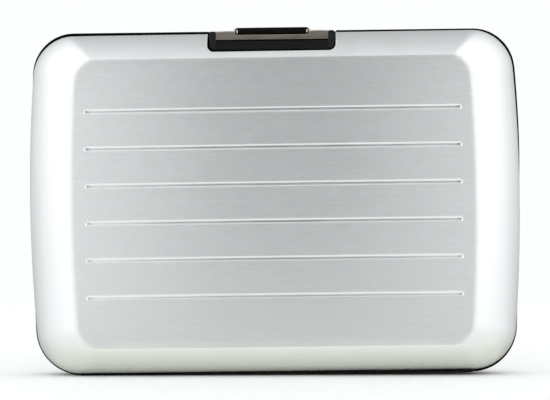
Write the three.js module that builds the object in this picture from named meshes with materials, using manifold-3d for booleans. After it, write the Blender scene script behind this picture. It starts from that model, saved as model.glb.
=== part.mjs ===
// Metal card wallet: two pressed aluminium shells on moulded frames, hinged along the bottom edge,
// closed at the top by a sprung clasp, with an accordion of card pockets that fans as it opens.
// Millimetres, +Z up. The front faces -Y, and the origin is the middle of the base.
import * as THREE from "three";
import { mergeVertices } from "three/addons/utils/BufferGeometryUtils.js";
import Module from "manifold-3d";

const wasm = await Module();
wasm.setup();

// Driving dimensions: the cards and the pockets that hold them
const CARD_WIDTH = 85.6;
const CARD_HEIGHT = 54;
const CARD_SIDE_PLAY = 0.5; // card edge to the folded tip of a side pleat
const CARD_SHOWS = 7; // height of card left standing above a pocket leaf
const POCKET_COUNT = 7;
const POCKET_PITCH = 2.1;
const POCKET_FLOOR = 6; // height of the floor that the cards stand on
const LEAF_THICKNESS = 0.5;
const LEAF_FOOT_CORNER = 6;
const LEAF_TOP_CORNER = 2;
const WALL_PAD = 1.1; // pad that holds an end wall off the shell, inside the flat of the panel
const WALL_PAD_INSET = 7; // pad to the side edge of its wall
const PLEAT_DEPTH = 4.2; // how far a pleat folds in at its top
const PLEAT_SHEET = 0.3;

// Driving dimensions: the pressed shells
const SIDE_MARGIN = 7.5; // pocket leaf to the outside of the shell, at mid height
const HEADROOM = 16.7; // card top to the top of the shell
const SHEET = 0.8;
const SKIRT = 3.2; // straight wall, measured from the seam plane
const SIDE_BAND = 10.1; // width of the curved band at the sides
const END_BAND = 5.95; // width of the curved band at the top and the bottom
const BAND_SWEEP = 65; // degrees of the band's arc; the rest is the crease at the panel
const CORNER_RADIUS = 8.3; // upper corners
const FOOT_CORNER = 9.2; // lower corners, by the hinge
const PANEL_CORNER = 4.6;
const SIDE_BOW = 1.85; // how far the side outline falls back from mid height to the ends
const PANEL_BOW = 1.2;
const RIB_COUNT = 6;
const RIB_PITCH = 8.3;
const RIB_WIDTH = 1.4;
const RIB_HEIGHT = 0.25; // pressed inwards: a groove outside and a rib inside
const RIB_END_MARGIN = 3.6; // rib end to the crease of the panel

// Driving dimensions: the moulded frames and the hinge along the bottom
const RIM_PROUD = 0.5; // how far the frame bead stands past the shell at the top and the bottom
const RIM_SIDE_INSET = 0.3; // the bead lies inside the shell at mid height
const RIM_BOW = 0.95;
const RIM_CORNER_EXTRA = 0.7; // the bead turns the corners on a larger radius than the shell
const BEAD_DEPTH = 1.6;
const SEAM_GAP = 0.3;
const FRAME_WALL = 1.2;
const FRAME_DEPTH = 4.2;
const KNUCKLE_RADIUS = 1.6;
const KNUCKLE_COUNT = 5;
const KNUCKLE_GAP = 0.4;
const KNUCKLE_ARM = 2.5; // height of the arm that joins a knuckle to its rail
const HINGE_RAISE = 0.2; // knuckles to the surface that the case stands on
const HINGE_END_MARGIN = 4; // end knuckle to the end of the rail
const HINGE_PIN_RADIUS = 0.7;
const RAIL_WIDTH = 1.2;
const HINGE_OPENING = 50; // degrees that the cover opens
const HINGE_SPARE = 4; // degrees of room left past that

// Driving dimensions: the clasp
const LATCH_WIDTH = 25.2;
const LATCH_SIDE_GAP = 0.25;
const EAR_WIDTH = 1.05;
const EAR_DROP = 0.3; // ears below the top of the bead
const NOTCH_DEPTH = 4.4;
const NOTCH_CORNER = 1.5;
const PLATE_THICKNESS = 0.8;
const PLATE_DROP = 0.4; // clasp plate below the top of the bead
const FLANGE_DROP = 1.85; // height of the flange that hooks over the catch
const FLANGE_REACH = 6.6; // seam plane to the front of the flange
const CATCH_HEADROOM = 0.35; // catch to the underside of the plate
const CATCH_THICKNESS = 1.5; // catch that the flange hooks over, front to back
const LIP_LENGTH = 17;
const LIP_RADIUS = 0.85;
const LIP_RISE = 0.35; // finger lip above the bead
const LIP_SETBACK = 0.2; // front of the flange to the middle of the lip
const GROOVE_RADIUS = 0.62; // groove along the front of the lip
const GROOVE_FORWARD = 0.55; // middle of the lip to the middle of the groove
const GROOVE_END_MARGIN = 0.8; // end of the lip to the end of the groove
const PIVOT_REACH = 6.2; // seam plane to the latch pin
const BARREL_RADIUS = 1.5;
const LATCH_PIN_RADIUS = 0.7;
const SPRING_POCKET = 9; // gap between the two rolled barrels
const SPRING_WIRE = 0.5;
const SPRING_RADIUS = 1.15;
const SPRING_TURNS = 6;
const SPRING_PITCH = 1;
const SPRING_LEG = 2.4; // length of the leg that lies on the plate
const SPRING_LEG_LIFT = 25; // degrees that the leg climbs to clear the plate's edge
const BLOCK_FOOT_SPREAD = 2.9; // moulded block's foot beyond the notch, trapped behind the shell
const BLOCK_FOOT_DEPTH = 5.9;
const BLOCK_FOOT_HEIGHT = 3.3;
const BLOCK_NOSE = 8.5; // seam plane to the block's visible face, at its lower edge
const BLOCK_NOSE_RAKE = 0.8; // how far that face leans back
const BLOCK_SEAM_GAP = 0.5;
const EAR_LEAN = 0.5; // two bevels that round the top of an ear
const EAR_WALL = 0.6; // wall of an ear behind the bore of the latch pin

// Clearances
const FIT_GAP = 0.3; // between pieces that seat on each other
const NOTCH_GAP = 0.4; // joint between a moulded clasp block and the edge of its notch
const PIN_GAP = 0.2; // between a pin and its bore, on the radius
const FLOOR_GAP = 0.6; // pocket floor to the next leaf

// Facet counts
const CORNER_STEPS = 8;
const SIDE_STEPS = 6;
const BAND_STEPS = 6;
const PIN_SIDES = 16;
const RIB_SIDES = 10;
const RIB_CAP_STEPS = 3;
const CURL_STEPS = 8;
const WIRE_SIDES = 5;

// Sizes that follow
const accordionHalf = (POCKET_COUNT * POCKET_PITCH) / 2;
const panelDepth = accordionHalf + LEAF_THICKNESS / 2 + WALL_PAD + FIT_GAP + SHEET;
const leafHalf = CARD_WIDTH / 2 + CARD_SIDE_PLAY + PLEAT_DEPTH;
const leafFoot = POCKET_FLOOR - LEAF_THICKNESS;
const leafTop = POCKET_FLOOR + CARD_HEIGHT - CARD_SHOWS;
const shellHalf = leafHalf + SIDE_MARGIN;
const shellBottom = RIM_PROUD;
const shellTop = POCKET_FLOOR + CARD_HEIGHT + HEADROOM;
const shellHalfHeight = (shellTop - shellBottom) / 2;
const caseMiddle = (shellTop + shellBottom) / 2;
const rimTop = shellTop + RIM_PROUD;
const hingeHeight = KNUCKLE_RADIUS + HINGE_RAISE;
const hingeRelief = KNUCKLE_RADIUS + FIT_GAP;
const railHalf = shellHalf - SIDE_BOW - FOOT_CORNER;
const railReach = hingeRelief + RAIL_WIDTH;
const hingeHalf = railHalf - HINGE_END_MARGIN;
const blockHalf = LATCH_WIDTH / 2 + LATCH_SIDE_GAP + EAR_WIDTH;
const notchHalf = blockHalf + NOTCH_GAP;
const notchFloor = shellTop - NOTCH_DEPTH;
const plateTop = rimTop - PLATE_DROP;
const plateUnderside = plateTop - PLATE_THICKNESS;
const pivotHeight = plateTop - BARREL_RADIUS;

// Outlines of the case, from the outermost ring to the panel
const shellEdge = {
  halfWidth: shellHalf,
  halfHeight: shellHalfHeight,
  corner: CORNER_RADIUS,
  footCorner: FOOT_CORNER,
  bow: SIDE_BOW,
};
const panelEdge = {
  halfWidth: shellHalf - SIDE_BAND,
  halfHeight: shellHalfHeight - END_BAND,
  corner: PANEL_CORNER,
  footCorner: PANEL_CORNER,
  bow: PANEL_BOW,
};
const rimEdge = {
  halfWidth: shellHalf - RIM_SIDE_INSET,
  halfHeight: shellHalfHeight + RIM_PROUD,
  corner: CORNER_RADIUS + RIM_CORNER_EXTRA,
  footCorner: FOOT_CORNER + RIM_CORNER_EXTRA,
  bow: RIM_BOW,
};

// The outline moved inwards by a wall
function shrunk(edge, wall) {
  return {
    halfWidth: edge.halfWidth - wall,
    halfHeight: edge.halfHeight - wall,
    corner: edge.corner - wall,
    footCorner: edge.footCorner - wall,
    bow: edge.bow,
  };
}

// The outline a share of the way from one edge to another
function between(a, b, share) {
  const mixed = {};
  for (const key of Object.keys(a)) mixed[key] = a[key] + (b[key] - a[key]) * share;
  return mixed;
}

// A rounded rectangle about the middle of the case, at one depth, with its sides bowed outwards
function ring({ halfWidth, halfHeight, corner, footCorner, bow }, depth) {
  const points = [];
  const add = (x, z) => {
    const fall = (bow / halfWidth) * (z / halfHeight) ** 2;
    points.push(new THREE.Vector3(x * (1 - fall), depth, caseMiddle + z));
  };
  const headEnd = halfHeight - corner;
  const footEnd = footCorner - halfHeight;
  const corners = [[1, 1], [-1, 1], [-1, -1], [1, -1]];
  corners.forEach(([sideX, sideZ], quarter) => {
    const [radius, centre] = sideZ > 0 ? [corner, headEnd] : [footCorner, footEnd];
    for (let i = 0; i <= CORNER_STEPS; i++) {
      const angle = ((quarter + i / CORNER_STEPS) * Math.PI) / 2;
      add(sideX * (halfWidth - radius) + radius * Math.cos(angle), centre + radius * Math.sin(angle));
    }
    if (sideX * sideZ > 0) return;
    const [from, to] = sideX < 0 ? [headEnd, footEnd] : [footEnd, headEnd];
    for (let i = 1; i < SIDE_STEPS; i++) {
      add(sideX * halfWidth, from + ((to - from) * i) / SIDE_STEPS);
    }
  });
  return points;
}

// A geometry cut down to its points and whole triangles, with shared points joined
function bare(geometry) {
  const plain = geometry.clone();
  for (const name of Object.keys(plain.attributes)) {
    if (name !== "position") plain.deleteAttribute(name);
  }
  const merged = mergeVertices(plain);
  const whole = [];
  const index = merged.index.array;
  for (let i = 0; i < index.length; i += 3) {
    const [a, b, c] = [index[i], index[i + 1], index[i + 2]];
    if (a !== b && b !== c && c !== a) whole.push(a, b, c);
  }
  return merged.setIndex(whole);
}

// Turns the faces of a closed geometry outwards
function facingOut(geometry) {
  const at = geometry.attributes.position;
  const index = geometry.index.array;
  const [a, b, c] = [new THREE.Vector3(), new THREE.Vector3(), new THREE.Vector3()];
  let volume = 0;
  for (let i = 0; i < index.length; i += 3) {
    a.fromBufferAttribute(at, index[i]);
    b.fromBufferAttribute(at, index[i + 1]);
    c.fromBufferAttribute(at, index[i + 2]);
    volume += a.dot(b.cross(c));
  }
  if (volume < 0) {
    for (let i = 0; i < index.length; i += 3) [index[i], index[i + 1]] = [index[i + 1], index[i]];
  }
  return geometry;
}

// Skins a run of matching rings: a loop joins up, and an open run gets a cap at each end
function skin(rings, loop) {
  const count = rings[0].length;
  const points = rings.flat();
  const index = [];
  const spans = loop ? rings.length : rings.length - 1;
  for (let r = 0; r < spans; r++) {
    const here = r * count;
    const next = ((r + 1) % rings.length) * count;
    for (let i = 0; i < count; i++) {
      const j = (i + 1) % count;
      index.push(here + i, here + j, next + j, here + i, next + j, next + i);
    }
  }
  const cap = (start, towards) => {
    const middle = points.length;
    const centre = new THREE.Vector3();
    for (let i = 0; i < count; i++) centre.addScaledVector(points[start + i], 1 / count);
    points.push(centre);
    for (let i = 0; i < count; i++) {
      const j = (i + 1) % count;
      if (towards) index.push(middle, start + i, start + j);
      else index.push(middle, start + j, start + i);
    }
  };
  if (!loop) {
    cap(0, false);
    cap((rings.length - 1) * count, true);
  }
  const geometry = new THREE.BufferGeometry().setFromPoints(points);
  geometry.setIndex(index);
  return solid(geometry);
}

// A closed geometry as a solid for joining and cutting
function solid(geometry) {
  const closed = facingOut(bare(geometry));
  const vertProperties = new Float32Array(closed.attributes.position.array);
  const triVerts = new Uint32Array(closed.index.array);
  return new wasm.Manifold(new wasm.Mesh({ numProp: 3, vertProperties, triVerts }));
}

// A solid back as a geometry
function geometryOf(body) {
  const { vertProperties, triVerts } = body.getMesh();
  const geometry = new THREE.BufferGeometry();
  geometry.setAttribute("position", new THREE.BufferAttribute(new Float32Array(vertProperties), 3));
  geometry.setIndex(new THREE.BufferAttribute(new Uint32Array(triVerts), 1));
  geometry.computeVertexNormals();
  return geometry;
}

// A box between two corners
function box([x0, y0, z0], [x1, y1, z1]) {
  const geometry = new THREE.BoxGeometry(x1 - x0, y1 - y0, z1 - z0);
  return solid(geometry.translate((x0 + x1) / 2, (y0 + y1) / 2, (z0 + z1) / 2));
}

// A rod along X
function rod(radius, x0, x1, y, z) {
  const geometry = new THREE.CylinderGeometry(radius, radius, x1 - x0, PIN_SIDES);
  return solid(geometry.rotateZ(Math.PI / 2).translate((x0 + x1) / 2, y, z));
}

// A profile of [y, z] points, drawn out along X
function alongX(profile, x0, x1) {
  const shape = new THREE.Shape(profile.map(([y, z]) => new THREE.Vector2(y, z)));
  const geometry = new THREE.ExtrudeGeometry(shape, { depth: x1 - x0, bevelEnabled: false });
  const turn = new THREE.Matrix4().makeBasis(
    new THREE.Vector3(0, 1, 0),
    new THREE.Vector3(0, 0, 1),
    new THREE.Vector3(1, 0, 0),
  );
  return solid(geometry.applyMatrix4(turn).translate(x0, 0, 0));
}

// A shape of x and z, drawn out along Y
function alongY(shape, y0, y1) {
  const options = { depth: y1 - y0, bevelEnabled: false, curveSegments: CORNER_STEPS };
  const geometry = new THREE.ExtrudeGeometry(shape, options);
  return solid(geometry.rotateX(Math.PI / 2).translate(0, y1, 0));
}

// A plate outline with its lower and upper corners rounded
function roundedPlate(half, z0, z1, lowerCorner, upperCorner) {
  const shape = new THREE.Shape();
  shape.moveTo(-half + lowerCorner, z0);
  shape.lineTo(half - lowerCorner, z0);
  shape.absarc(half - lowerCorner, z0 + lowerCorner, lowerCorner, -Math.PI / 2, 0, false);
  shape.lineTo(half, z1 - upperCorner);
  shape.absarc(half - upperCorner, z1 - upperCorner, upperCorner, 0, Math.PI / 2, false);
  shape.lineTo(-half + upperCorner, z1);
  shape.absarc(-half + upperCorner, z1 - upperCorner, upperCorner, Math.PI / 2, Math.PI, false);
  shape.lineTo(-half, z0 + lowerCorner);
  shape.absarc(-half + lowerCorner, z0 + lowerCorner, lowerCorner, Math.PI, 1.5 * Math.PI, false);
  return shape;
}

// Both halves are drawn once, as the rear one: the seam at y 0 and the panel at +y.
// The front half is the same drawing in a group turned half a turn about Z.

// Rings of one face of the sheet, from its edge at the seam up to the crease of the panel
function sheetRings(edge, depth) {
  const sweep = THREE.MathUtils.degToRad(BAND_SWEEP);
  const rings = [ring(edge, BEAD_DEPTH + FIT_GAP)];
  for (let i = 0; i <= BAND_STEPS; i++) {
    const angle = (sweep * i) / BAND_STEPS;
    const share = (1 - Math.cos(angle)) / (1 - Math.cos(sweep));
    const rise = Math.sin(angle) / Math.sin(sweep);
    rings.push(ring(between(edge, panelEdge, share), SKIRT + (depth - SKIRT) * rise));
  }
  return rings;
}

// One pressed rib: a flattened round bar with round ends, centred on a face of the sheet
function rib(row, depth) {
  const radius = RIB_WIDTH / 2;
  const straight = 2 * (panelEdge.halfWidth - RIB_END_MARGIN - radius);
  const geometry = new THREE.CapsuleGeometry(radius, straight, RIB_CAP_STEPS, RIB_SIDES);
  geometry.rotateZ(Math.PI / 2).scale(1, RIB_HEIGHT / radius, 1);
  const height = caseMiddle + (row - (RIB_COUNT - 1) / 2) * RIB_PITCH;
  return solid(geometry.translate(0, depth, height));
}

// The mouth cut in the top edge of a half for the clasp
function claspNotch(half, corner) {
  const shape = roundedPlate(half, notchFloor, plateTop + NOTCH_DEPTH, corner, corner);
  return alongY(shape, 0, panelDepth + SHEET);
}

function pressedShell() {
  const inside = sheetRings(shrunk(shellEdge, SHEET), panelDepth - SHEET).reverse();
  const outside = sheetRings(shellEdge, panelDepth);
  let shell = skin([...inside, ...outside], false);
  for (let row = 0; row < RIB_COUNT; row++) {
    shell = shell.add(rib(row, panelDepth - SHEET)).subtract(rib(row, panelDepth));
  }
  const railEnd = railHalf + FIT_GAP;
  const railRoom = box([-railEnd, 0, -RIM_PROUD], [railEnd, railReach + FIT_GAP, shellBottom + 2 * SHEET]);
  return shell.subtract(railRoom).subtract(claspNotch(notchHalf, NOTCH_CORNER));
}

// Knuckles of one half: every second one of the row
function knuckles(first) {
  const length = (2 * hingeHalf) / KNUCKLE_COUNT;
  const web = hingeRelief + RAIL_WIDTH / 2;
  let row = null;
  for (let i = first; i < KNUCKLE_COUNT; i += 2) {
    const x0 = -hingeHalf + i * length + KNUCKLE_GAP / 2;
    const x1 = x0 + length - KNUCKLE_GAP;
    const arm = box([x0, 0, shellBottom], [x1, web, shellBottom + KNUCKLE_ARM]);
    const knuckle = rod(KNUCKLE_RADIUS, x0, x1, 0, hingeHeight).add(arm);
    row = row ? row.add(knuckle) : knuckle;
  }
  return row;
}

// The wedge under the hinge axis that one half leaves free, so that the other can swing into it
function swingRoom() {
  const spread = THREE.MathUtils.degToRad((HINGE_OPENING + HINGE_SPARE) / 2);
  const depth = 2 * hingeHeight;
  const wedge = [[0, hingeHeight], [0, hingeHeight - depth], [depth * Math.tan(spread), hingeHeight - depth]];
  return alongX(wedge, -shellHalf, shellHalf);
}

function mouldedFrame(firstKnuckle) {
  const wallOuter = shrunk(shellEdge, SHEET + FIT_GAP);
  const wallInner = shrunk(wallOuter, FRAME_WALL);
  const section = [
    [rimEdge, SEAM_GAP / 2],
    [rimEdge, BEAD_DEPTH],
    [wallOuter, BEAD_DEPTH],
    [wallOuter, FRAME_DEPTH],
    [wallInner, FRAME_DEPTH],
    [wallInner, SEAM_GAP / 2],
  ];
  let frame = skin(section.map(([edge, depth]) => ring(edge, depth)), true);
  const wallTop = caseMiddle - wallInner.halfHeight;
  frame = frame.add(box([-railHalf, BEAD_DEPTH, 0], [railHalf, railReach, wallTop]));
  const reliefHalf = hingeHalf + FIT_GAP;
  frame = frame.subtract(rod(hingeRelief, -reliefHalf, reliefHalf, 0, hingeHeight)).subtract(swingRoom());
  frame = frame.add(knuckles(firstKnuckle));
  frame = frame.subtract(rod(HINGE_PIN_RADIUS + PIN_GAP, -shellHalf, shellHalf, 0, hingeHeight));
  const claspFar = [notchHalf, FRAME_DEPTH + SHEET, rimTop + FIT_GAP];
  return frame.subtract(box([-notchHalf, -SEAM_GAP, notchFloor], claspFar));
}

// Heights and depths that the two moulded clasp blocks share
const earTop = rimTop - EAR_DROP;
const earInside = LATCH_WIDTH / 2 + LATCH_SIDE_GAP;
const ledgeHeight = plateTop - FLANGE_DROP - FIT_GAP;
const noseFoot = notchFloor + NOTCH_GAP;
const noseBack = BLOCK_NOSE - BLOCK_NOSE_RAKE;
const pinEarBack = PIVOT_REACH + LATCH_PIN_RADIUS + PIN_GAP + EAR_WALL;
const footTop = shellTop - SHEET - FIT_GAP - FRAME_WALL - FIT_GAP;
const footBottom = footTop - BLOCK_FOOT_HEIGHT;
const bracketFloor = pivotHeight - BARREL_RADIUS - CATCH_HEADROOM;

// A moulded block that fills the notch: a body low enough for the clasp, between two guard ears.
// The body is given by the upper part of its profile, from the lower edge of the visible face,
// and the ears by how far they reach from the seam plane above that face.
function claspBlock(bodyTop, earBack) {
  const foot = [[BLOCK_SEAM_GAP, footBottom], [BLOCK_FOOT_DEPTH, footBottom], [BLOCK_FOOT_DEPTH, noseFoot]];
  const nose = [BLOCK_NOSE, noseFoot];
  const earProfile = [
    ...foot,
    nose,
    [earBack, ledgeHeight],
    [earBack - EAR_LEAN, earTop - EAR_LEAN],
    [earBack - 2 * EAR_LEAN, earTop],
    [BLOCK_SEAM_GAP, earTop],
  ];
  const body = alongX([...foot, nose, ...bodyTop], -earInside, earInside);
  const ears = alongX(earProfile, -blockHalf, -earInside).add(alongX(earProfile, earInside, blockHalf));
  const below = roundedPlate(blockHalf, footBottom, noseFoot, FIT_GAP, FIT_GAP);
  const seen = roundedPlate(blockHalf, noseFoot, earTop, NOTCH_CORNER - NOTCH_GAP, FIT_GAP);
  const outline = alongY(below, 0, BLOCK_FOOT_DEPTH).add(alongY(seen, 0, BLOCK_NOSE));
  const spread = notchHalf + BLOCK_FOOT_SPREAD;
  const trapped = box([-spread, BLOCK_SEAM_GAP, footBottom], [spread, BLOCK_FOOT_DEPTH, footTop]);
  return body.add(ears).intersect(outline).add(trapped);
}

// The front block carries the step that the clasp's flange drops in front of
function catchBlock() {
  const top = plateUnderside - CATCH_HEADROOM;
  const front = FLANGE_REACH - PLATE_THICKNESS - FIT_GAP;
  const back = front - CATCH_THICKNESS;
  const bodyTop = [
    [noseBack, ledgeHeight],
    [front, ledgeHeight],
    [front, top],
    [back, top],
    [back, ledgeHeight],
    [BLOCK_SEAM_GAP, ledgeHeight],
  ];
  return claspBlock(bodyTop, noseBack);
}

// The rear block is open under the rolled barrels, and its ears hold the latch pin
function latchBracket() {
  const rake = (BLOCK_NOSE_RAKE * (bracketFloor - noseFoot)) / (ledgeHeight - noseFoot);
  const bodyTop = [[BLOCK_NOSE - rake, bracketFloor], [BLOCK_SEAM_GAP, bracketFloor]];
  const block = claspBlock(bodyTop, pinEarBack);
  const barrelRoom = box([-earInside, 0, bracketFloor], [earInside, BLOCK_NOSE, rimTop]);
  return block.subtract(barrelRoom).subtract(latchBore());
}

function latchBore() {
  const half = blockHalf + FIT_GAP;
  return rod(LATCH_PIN_RADIUS + PIN_GAP, -half, half, PIVOT_REACH, pivotHeight);
}

// A round-ended rod along the finger lip, or forward of its middle
function lipRod(radius, length, forward) {
  const geometry = new THREE.CapsuleGeometry(radius, length - 2 * radius, RIB_CAP_STEPS, PIN_SIDES);
  const middle = rimTop + LIP_RISE - LIP_RADIUS;
  return solid(geometry.rotateZ(Math.PI / 2).translate(0, LIP_SETBACK - FLANGE_REACH - forward, middle));
}

// The clasp: a bent plate, rolled round the pin at the back, with a flange and a grooved finger lip in front
function latchPlate() {
  const half = LATCH_WIDTH / 2;
  const front = -FLANGE_REACH;
  const bent = [
    [PIVOT_REACH, plateTop],
    [front, plateTop],
    [front, plateTop - FLANGE_DROP],
    [front + PLATE_THICKNESS, plateTop - FLANGE_DROP],
    [front + PLATE_THICKNESS, plateUnderside],
    [PIVOT_REACH, plateUnderside],
  ];
  let plate = alongX(bent, -half, half).add(rod(BARREL_RADIUS, -half, half, PIVOT_REACH, pivotHeight));
  plate = plate.add(lipRod(LIP_RADIUS, LIP_LENGTH, 0));
  plate = plate.subtract(lipRod(GROOVE_RADIUS, LIP_LENGTH - 2 * GROOVE_END_MARGIN, GROOVE_FORWARD));
  const pocket = SPRING_POCKET / 2;
  const near = [-pocket, PIVOT_REACH - BARREL_RADIUS - FIT_GAP, pivotHeight - 2 * BARREL_RADIUS];
  const far = [pocket, PIVOT_REACH + 2 * BARREL_RADIUS, plateTop + FIT_GAP];
  return plate.subtract(box(near, far)).subtract(latchBore());
}

// A path that runs straight from point to point
class Polyline extends THREE.Curve {
  constructor(points) {
    super();
    this.points = points;
  }

  getPoint(t, target = new THREE.Vector3()) {
    const along = t * (this.points.length - 1);
    const leg = Math.min(Math.floor(along), this.points.length - 2);
    return target.lerpVectors(this.points[leg], this.points[leg + 1], along - leg);
  }
}

// The torsion spring's wire: a leg up from the bracket, curls round the pin, and a leg over the plate
function springPoints() {
  const lift = THREE.MathUtils.degToRad(SPRING_LEG_LIFT);
  const turns = SPRING_TURNS + 0.25 - SPRING_LEG_LIFT / 360;
  const start = (-turns * SPRING_PITCH) / 2;
  const steps = Math.round(turns * CURL_STEPS);
  const legFoot = bracketFloor + FIT_GAP + SPRING_WIRE / 2;
  const points = [new THREE.Vector3(start, PIVOT_REACH + SPRING_RADIUS, legFoot)];
  for (let i = 0; i <= steps; i++) {
    const angle = (i / steps) * turns * 2 * Math.PI;
    const y = PIVOT_REACH + SPRING_RADIUS * Math.cos(angle);
    const z = pivotHeight + SPRING_RADIUS * Math.sin(angle);
    points.push(new THREE.Vector3(start + (i / steps) * turns * SPRING_PITCH, y, z));
  }
  const onPlate = plateTop + FIT_GAP + SPRING_WIRE / 2;
  const last = points[points.length - 1];
  const bend = last.y - (onPlate - last.z) / Math.tan(lift);
  points.push(new THREE.Vector3(last.x, bend, onPlate));
  points.push(new THREE.Vector3(last.x, bend - SPRING_LEG, onPlate));
  return points;
}

// The least gap between stretches of the wire that are at least half a curl apart
function leastGap(points) {
  let least = Infinity;
  for (let i = 0; i < points.length; i++) {
    for (let j = i + CURL_STEPS / 2; j < points.length; j++) {
      least = Math.min(least, points[i].distanceTo(points[j]) - SPRING_WIRE);
    }
  }
  return least;
}

function latchSpring() {
  const path = new Polyline(springPoints());
  console.log(`latch spring: least gap between curls ${leastGap(path.points).toFixed(2)} mm`);
  const wire = [];
  for (let i = 0; i < WIRE_SIDES; i++) {
    const angle = (2 * Math.PI * i) / WIRE_SIDES;
    wire.push(new THREE.Vector2(Math.cos(angle), Math.sin(angle)).multiplyScalar(SPRING_WIRE / 2));
  }
  const options = { steps: path.points.length + CURL_STEPS, extrudePath: path, bevelEnabled: false };
  return solid(new THREE.ExtrudeGeometry(new THREE.Shape(wire), options));
}

// A pin along X
function pin(radius, half, y, z) {
  return rod(radius, -half, half, y, z);
}

// A plain leaf of the accordion, about y 0
function plainLeaf() {
  const outline = roundedPlate(leafHalf, leafFoot, leafTop, LEAF_FOOT_CORNER, LEAF_TOP_CORNER);
  return alongY(outline, -LEAF_THICKNESS / 2, LEAF_THICKNESS / 2);
}

// A leaf with the floor that its cards stand on
function pocketLeaf() {
  const half = leafHalf - LEAF_FOOT_CORNER;
  const reach = POCKET_PITCH - LEAF_THICKNESS / 2 - FLOOR_GAP;
  return plainLeaf().add(box([-half, -reach, leafFoot], [half, 0, POCKET_FLOOR]));
}

// The pad on the outer face of an end wall, on the rear side; the ribs inside the shell rest on it
function wallPad() {
  const half = leafHalf - WALL_PAD_INSET;
  const back = LEAF_THICKNESS / 2 + WALL_PAD - RIB_HEIGHT;
  return box([-half, 0, leafFoot + LEAF_FOOT_CORNER], [half, back, leafTop - LEAF_TOP_CORNER]);
}

// One side pleat: a sheet folded inwards, deeper towards the top as the fan opens wider there
function sidePleat() {
  const foot = leafFoot + LEAF_FOOT_CORNER;
  const top = leafTop - LEAF_TOP_CORNER;
  const outside = (POCKET_PITCH - LEAF_THICKNESS) / 2 - FIT_GAP;
  const inside = outside - PLEAT_SHEET;
  const fold = [[0, outside], [1, 0], [0, -outside], [0, -inside], [inside / outside, 0], [0, inside]];
  const shape = new THREE.Shape(fold.map(([share, y]) => new THREE.Vector2(share, y)));
  const geometry = bare(new THREE.ExtrudeGeometry(shape, { depth: top - foot, bevelEnabled: false }));
  const at = geometry.attributes.position;
  for (let i = 0; i < at.count; i++) {
    const z = foot + at.getZ(i);
    const depth = (PLEAT_DEPTH * (z - hingeHeight)) / (top - hingeHeight);
    at.setXYZ(i, leafHalf - at.getX(i) * depth, at.getY(i), z);
  }
  return solid(geometry);
}

// Looks
const aluminium = { color: 0xc4c8c9, metalness: 0.9, roughness: 0.35 };
const moulding = { color: 0x17181a, metalness: 0, roughness: 0.55 };
const steel = { color: 0x8d8a84, metalness: 1, roughness: 0.3 };
const film = { color: 0x1d1e20, metalness: 0, roughness: 0.7 };

// Assembly
const wallet = new THREE.Group();
wallet.name = "card_wallet";
const frontHalf = new THREE.Group();
frontHalf.name = "front_half";
frontHalf.rotation.z = Math.PI;
wallet.add(frontHalf);

function place(name, body, look, parent = wallet) {
  const mesh = new THREE.Mesh(geometryOf(body), new THREE.MeshStandardMaterial(look));
  mesh.name = name;
  parent.add(mesh);
  return mesh;
}

const shell = pressedShell();
place("rear_shell", shell, aluminium);
place("front_shell", shell, aluminium, frontHalf);
place("rear_frame", mouldedFrame(0), moulding);
place("front_frame", mouldedFrame(1), moulding, frontHalf);
place("hinge_pin", pin(HINGE_PIN_RADIUS, hingeHalf - KNUCKLE_GAP, 0, hingeHeight), steel);

place("latch_bracket", latchBracket(), moulding);
place("catch_block", catchBlock(), moulding, frontHalf);
place("latch_plate", latchPlate(), steel);
place("latch_pin", pin(LATCH_PIN_RADIUS, blockHalf - PIN_GAP, PIVOT_REACH, pivotHeight), steel);
place("latch_spring", latchSpring(), steel);

const leaf = pocketLeaf();
place("rear_pocket_wall", leaf.add(wallPad()), film).position.y = accordionHalf;
place("front_pocket_wall", plainLeaf().add(wallPad()), film, frontHalf).position.y = accordionHalf;
for (let i = 1; i < POCKET_COUNT; i++) {
  place(`pocket_leaf_${i}`, leaf, film).position.y = accordionHalf - i * POCKET_PITCH;
}

const pleat = sidePleat();
for (let i = 1; i <= POCKET_COUNT; i++) {
  const middle = accordionHalf - (i - 0.5) * POCKET_PITCH;
  place(`pleat_right_${i}`, pleat, film).position.y = middle;
  const left = place(`pleat_left_${i}`, pleat, film);
  left.rotation.z = Math.PI;
  left.position.y = middle;
}

export default wallet;
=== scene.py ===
# %% [markdown]
# A metal card wallet stands on its hinge edge on a white table. Blender works in metres, so one
# millimetre is written as MM.

import math

import bmesh
import bpy
import numpy as np
from mathutils import Matrix, Vector


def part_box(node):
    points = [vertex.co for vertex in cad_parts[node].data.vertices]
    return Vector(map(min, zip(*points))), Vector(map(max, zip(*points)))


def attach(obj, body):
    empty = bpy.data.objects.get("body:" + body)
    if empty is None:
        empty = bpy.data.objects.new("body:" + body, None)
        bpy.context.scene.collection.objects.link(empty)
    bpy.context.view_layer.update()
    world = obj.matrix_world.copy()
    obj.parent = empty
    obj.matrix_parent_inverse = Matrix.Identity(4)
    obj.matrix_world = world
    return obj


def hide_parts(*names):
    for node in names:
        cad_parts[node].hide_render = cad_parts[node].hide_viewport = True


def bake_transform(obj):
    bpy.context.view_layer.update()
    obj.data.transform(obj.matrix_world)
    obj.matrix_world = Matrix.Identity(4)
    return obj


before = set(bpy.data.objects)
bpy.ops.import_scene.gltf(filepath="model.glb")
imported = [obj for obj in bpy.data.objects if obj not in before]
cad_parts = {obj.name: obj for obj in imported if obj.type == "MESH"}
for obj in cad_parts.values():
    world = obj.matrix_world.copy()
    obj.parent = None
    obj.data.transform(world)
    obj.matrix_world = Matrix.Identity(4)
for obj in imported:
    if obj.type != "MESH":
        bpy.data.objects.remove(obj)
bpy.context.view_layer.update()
MM = 0.001
print("nodes in the frame:", len(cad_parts))

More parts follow.
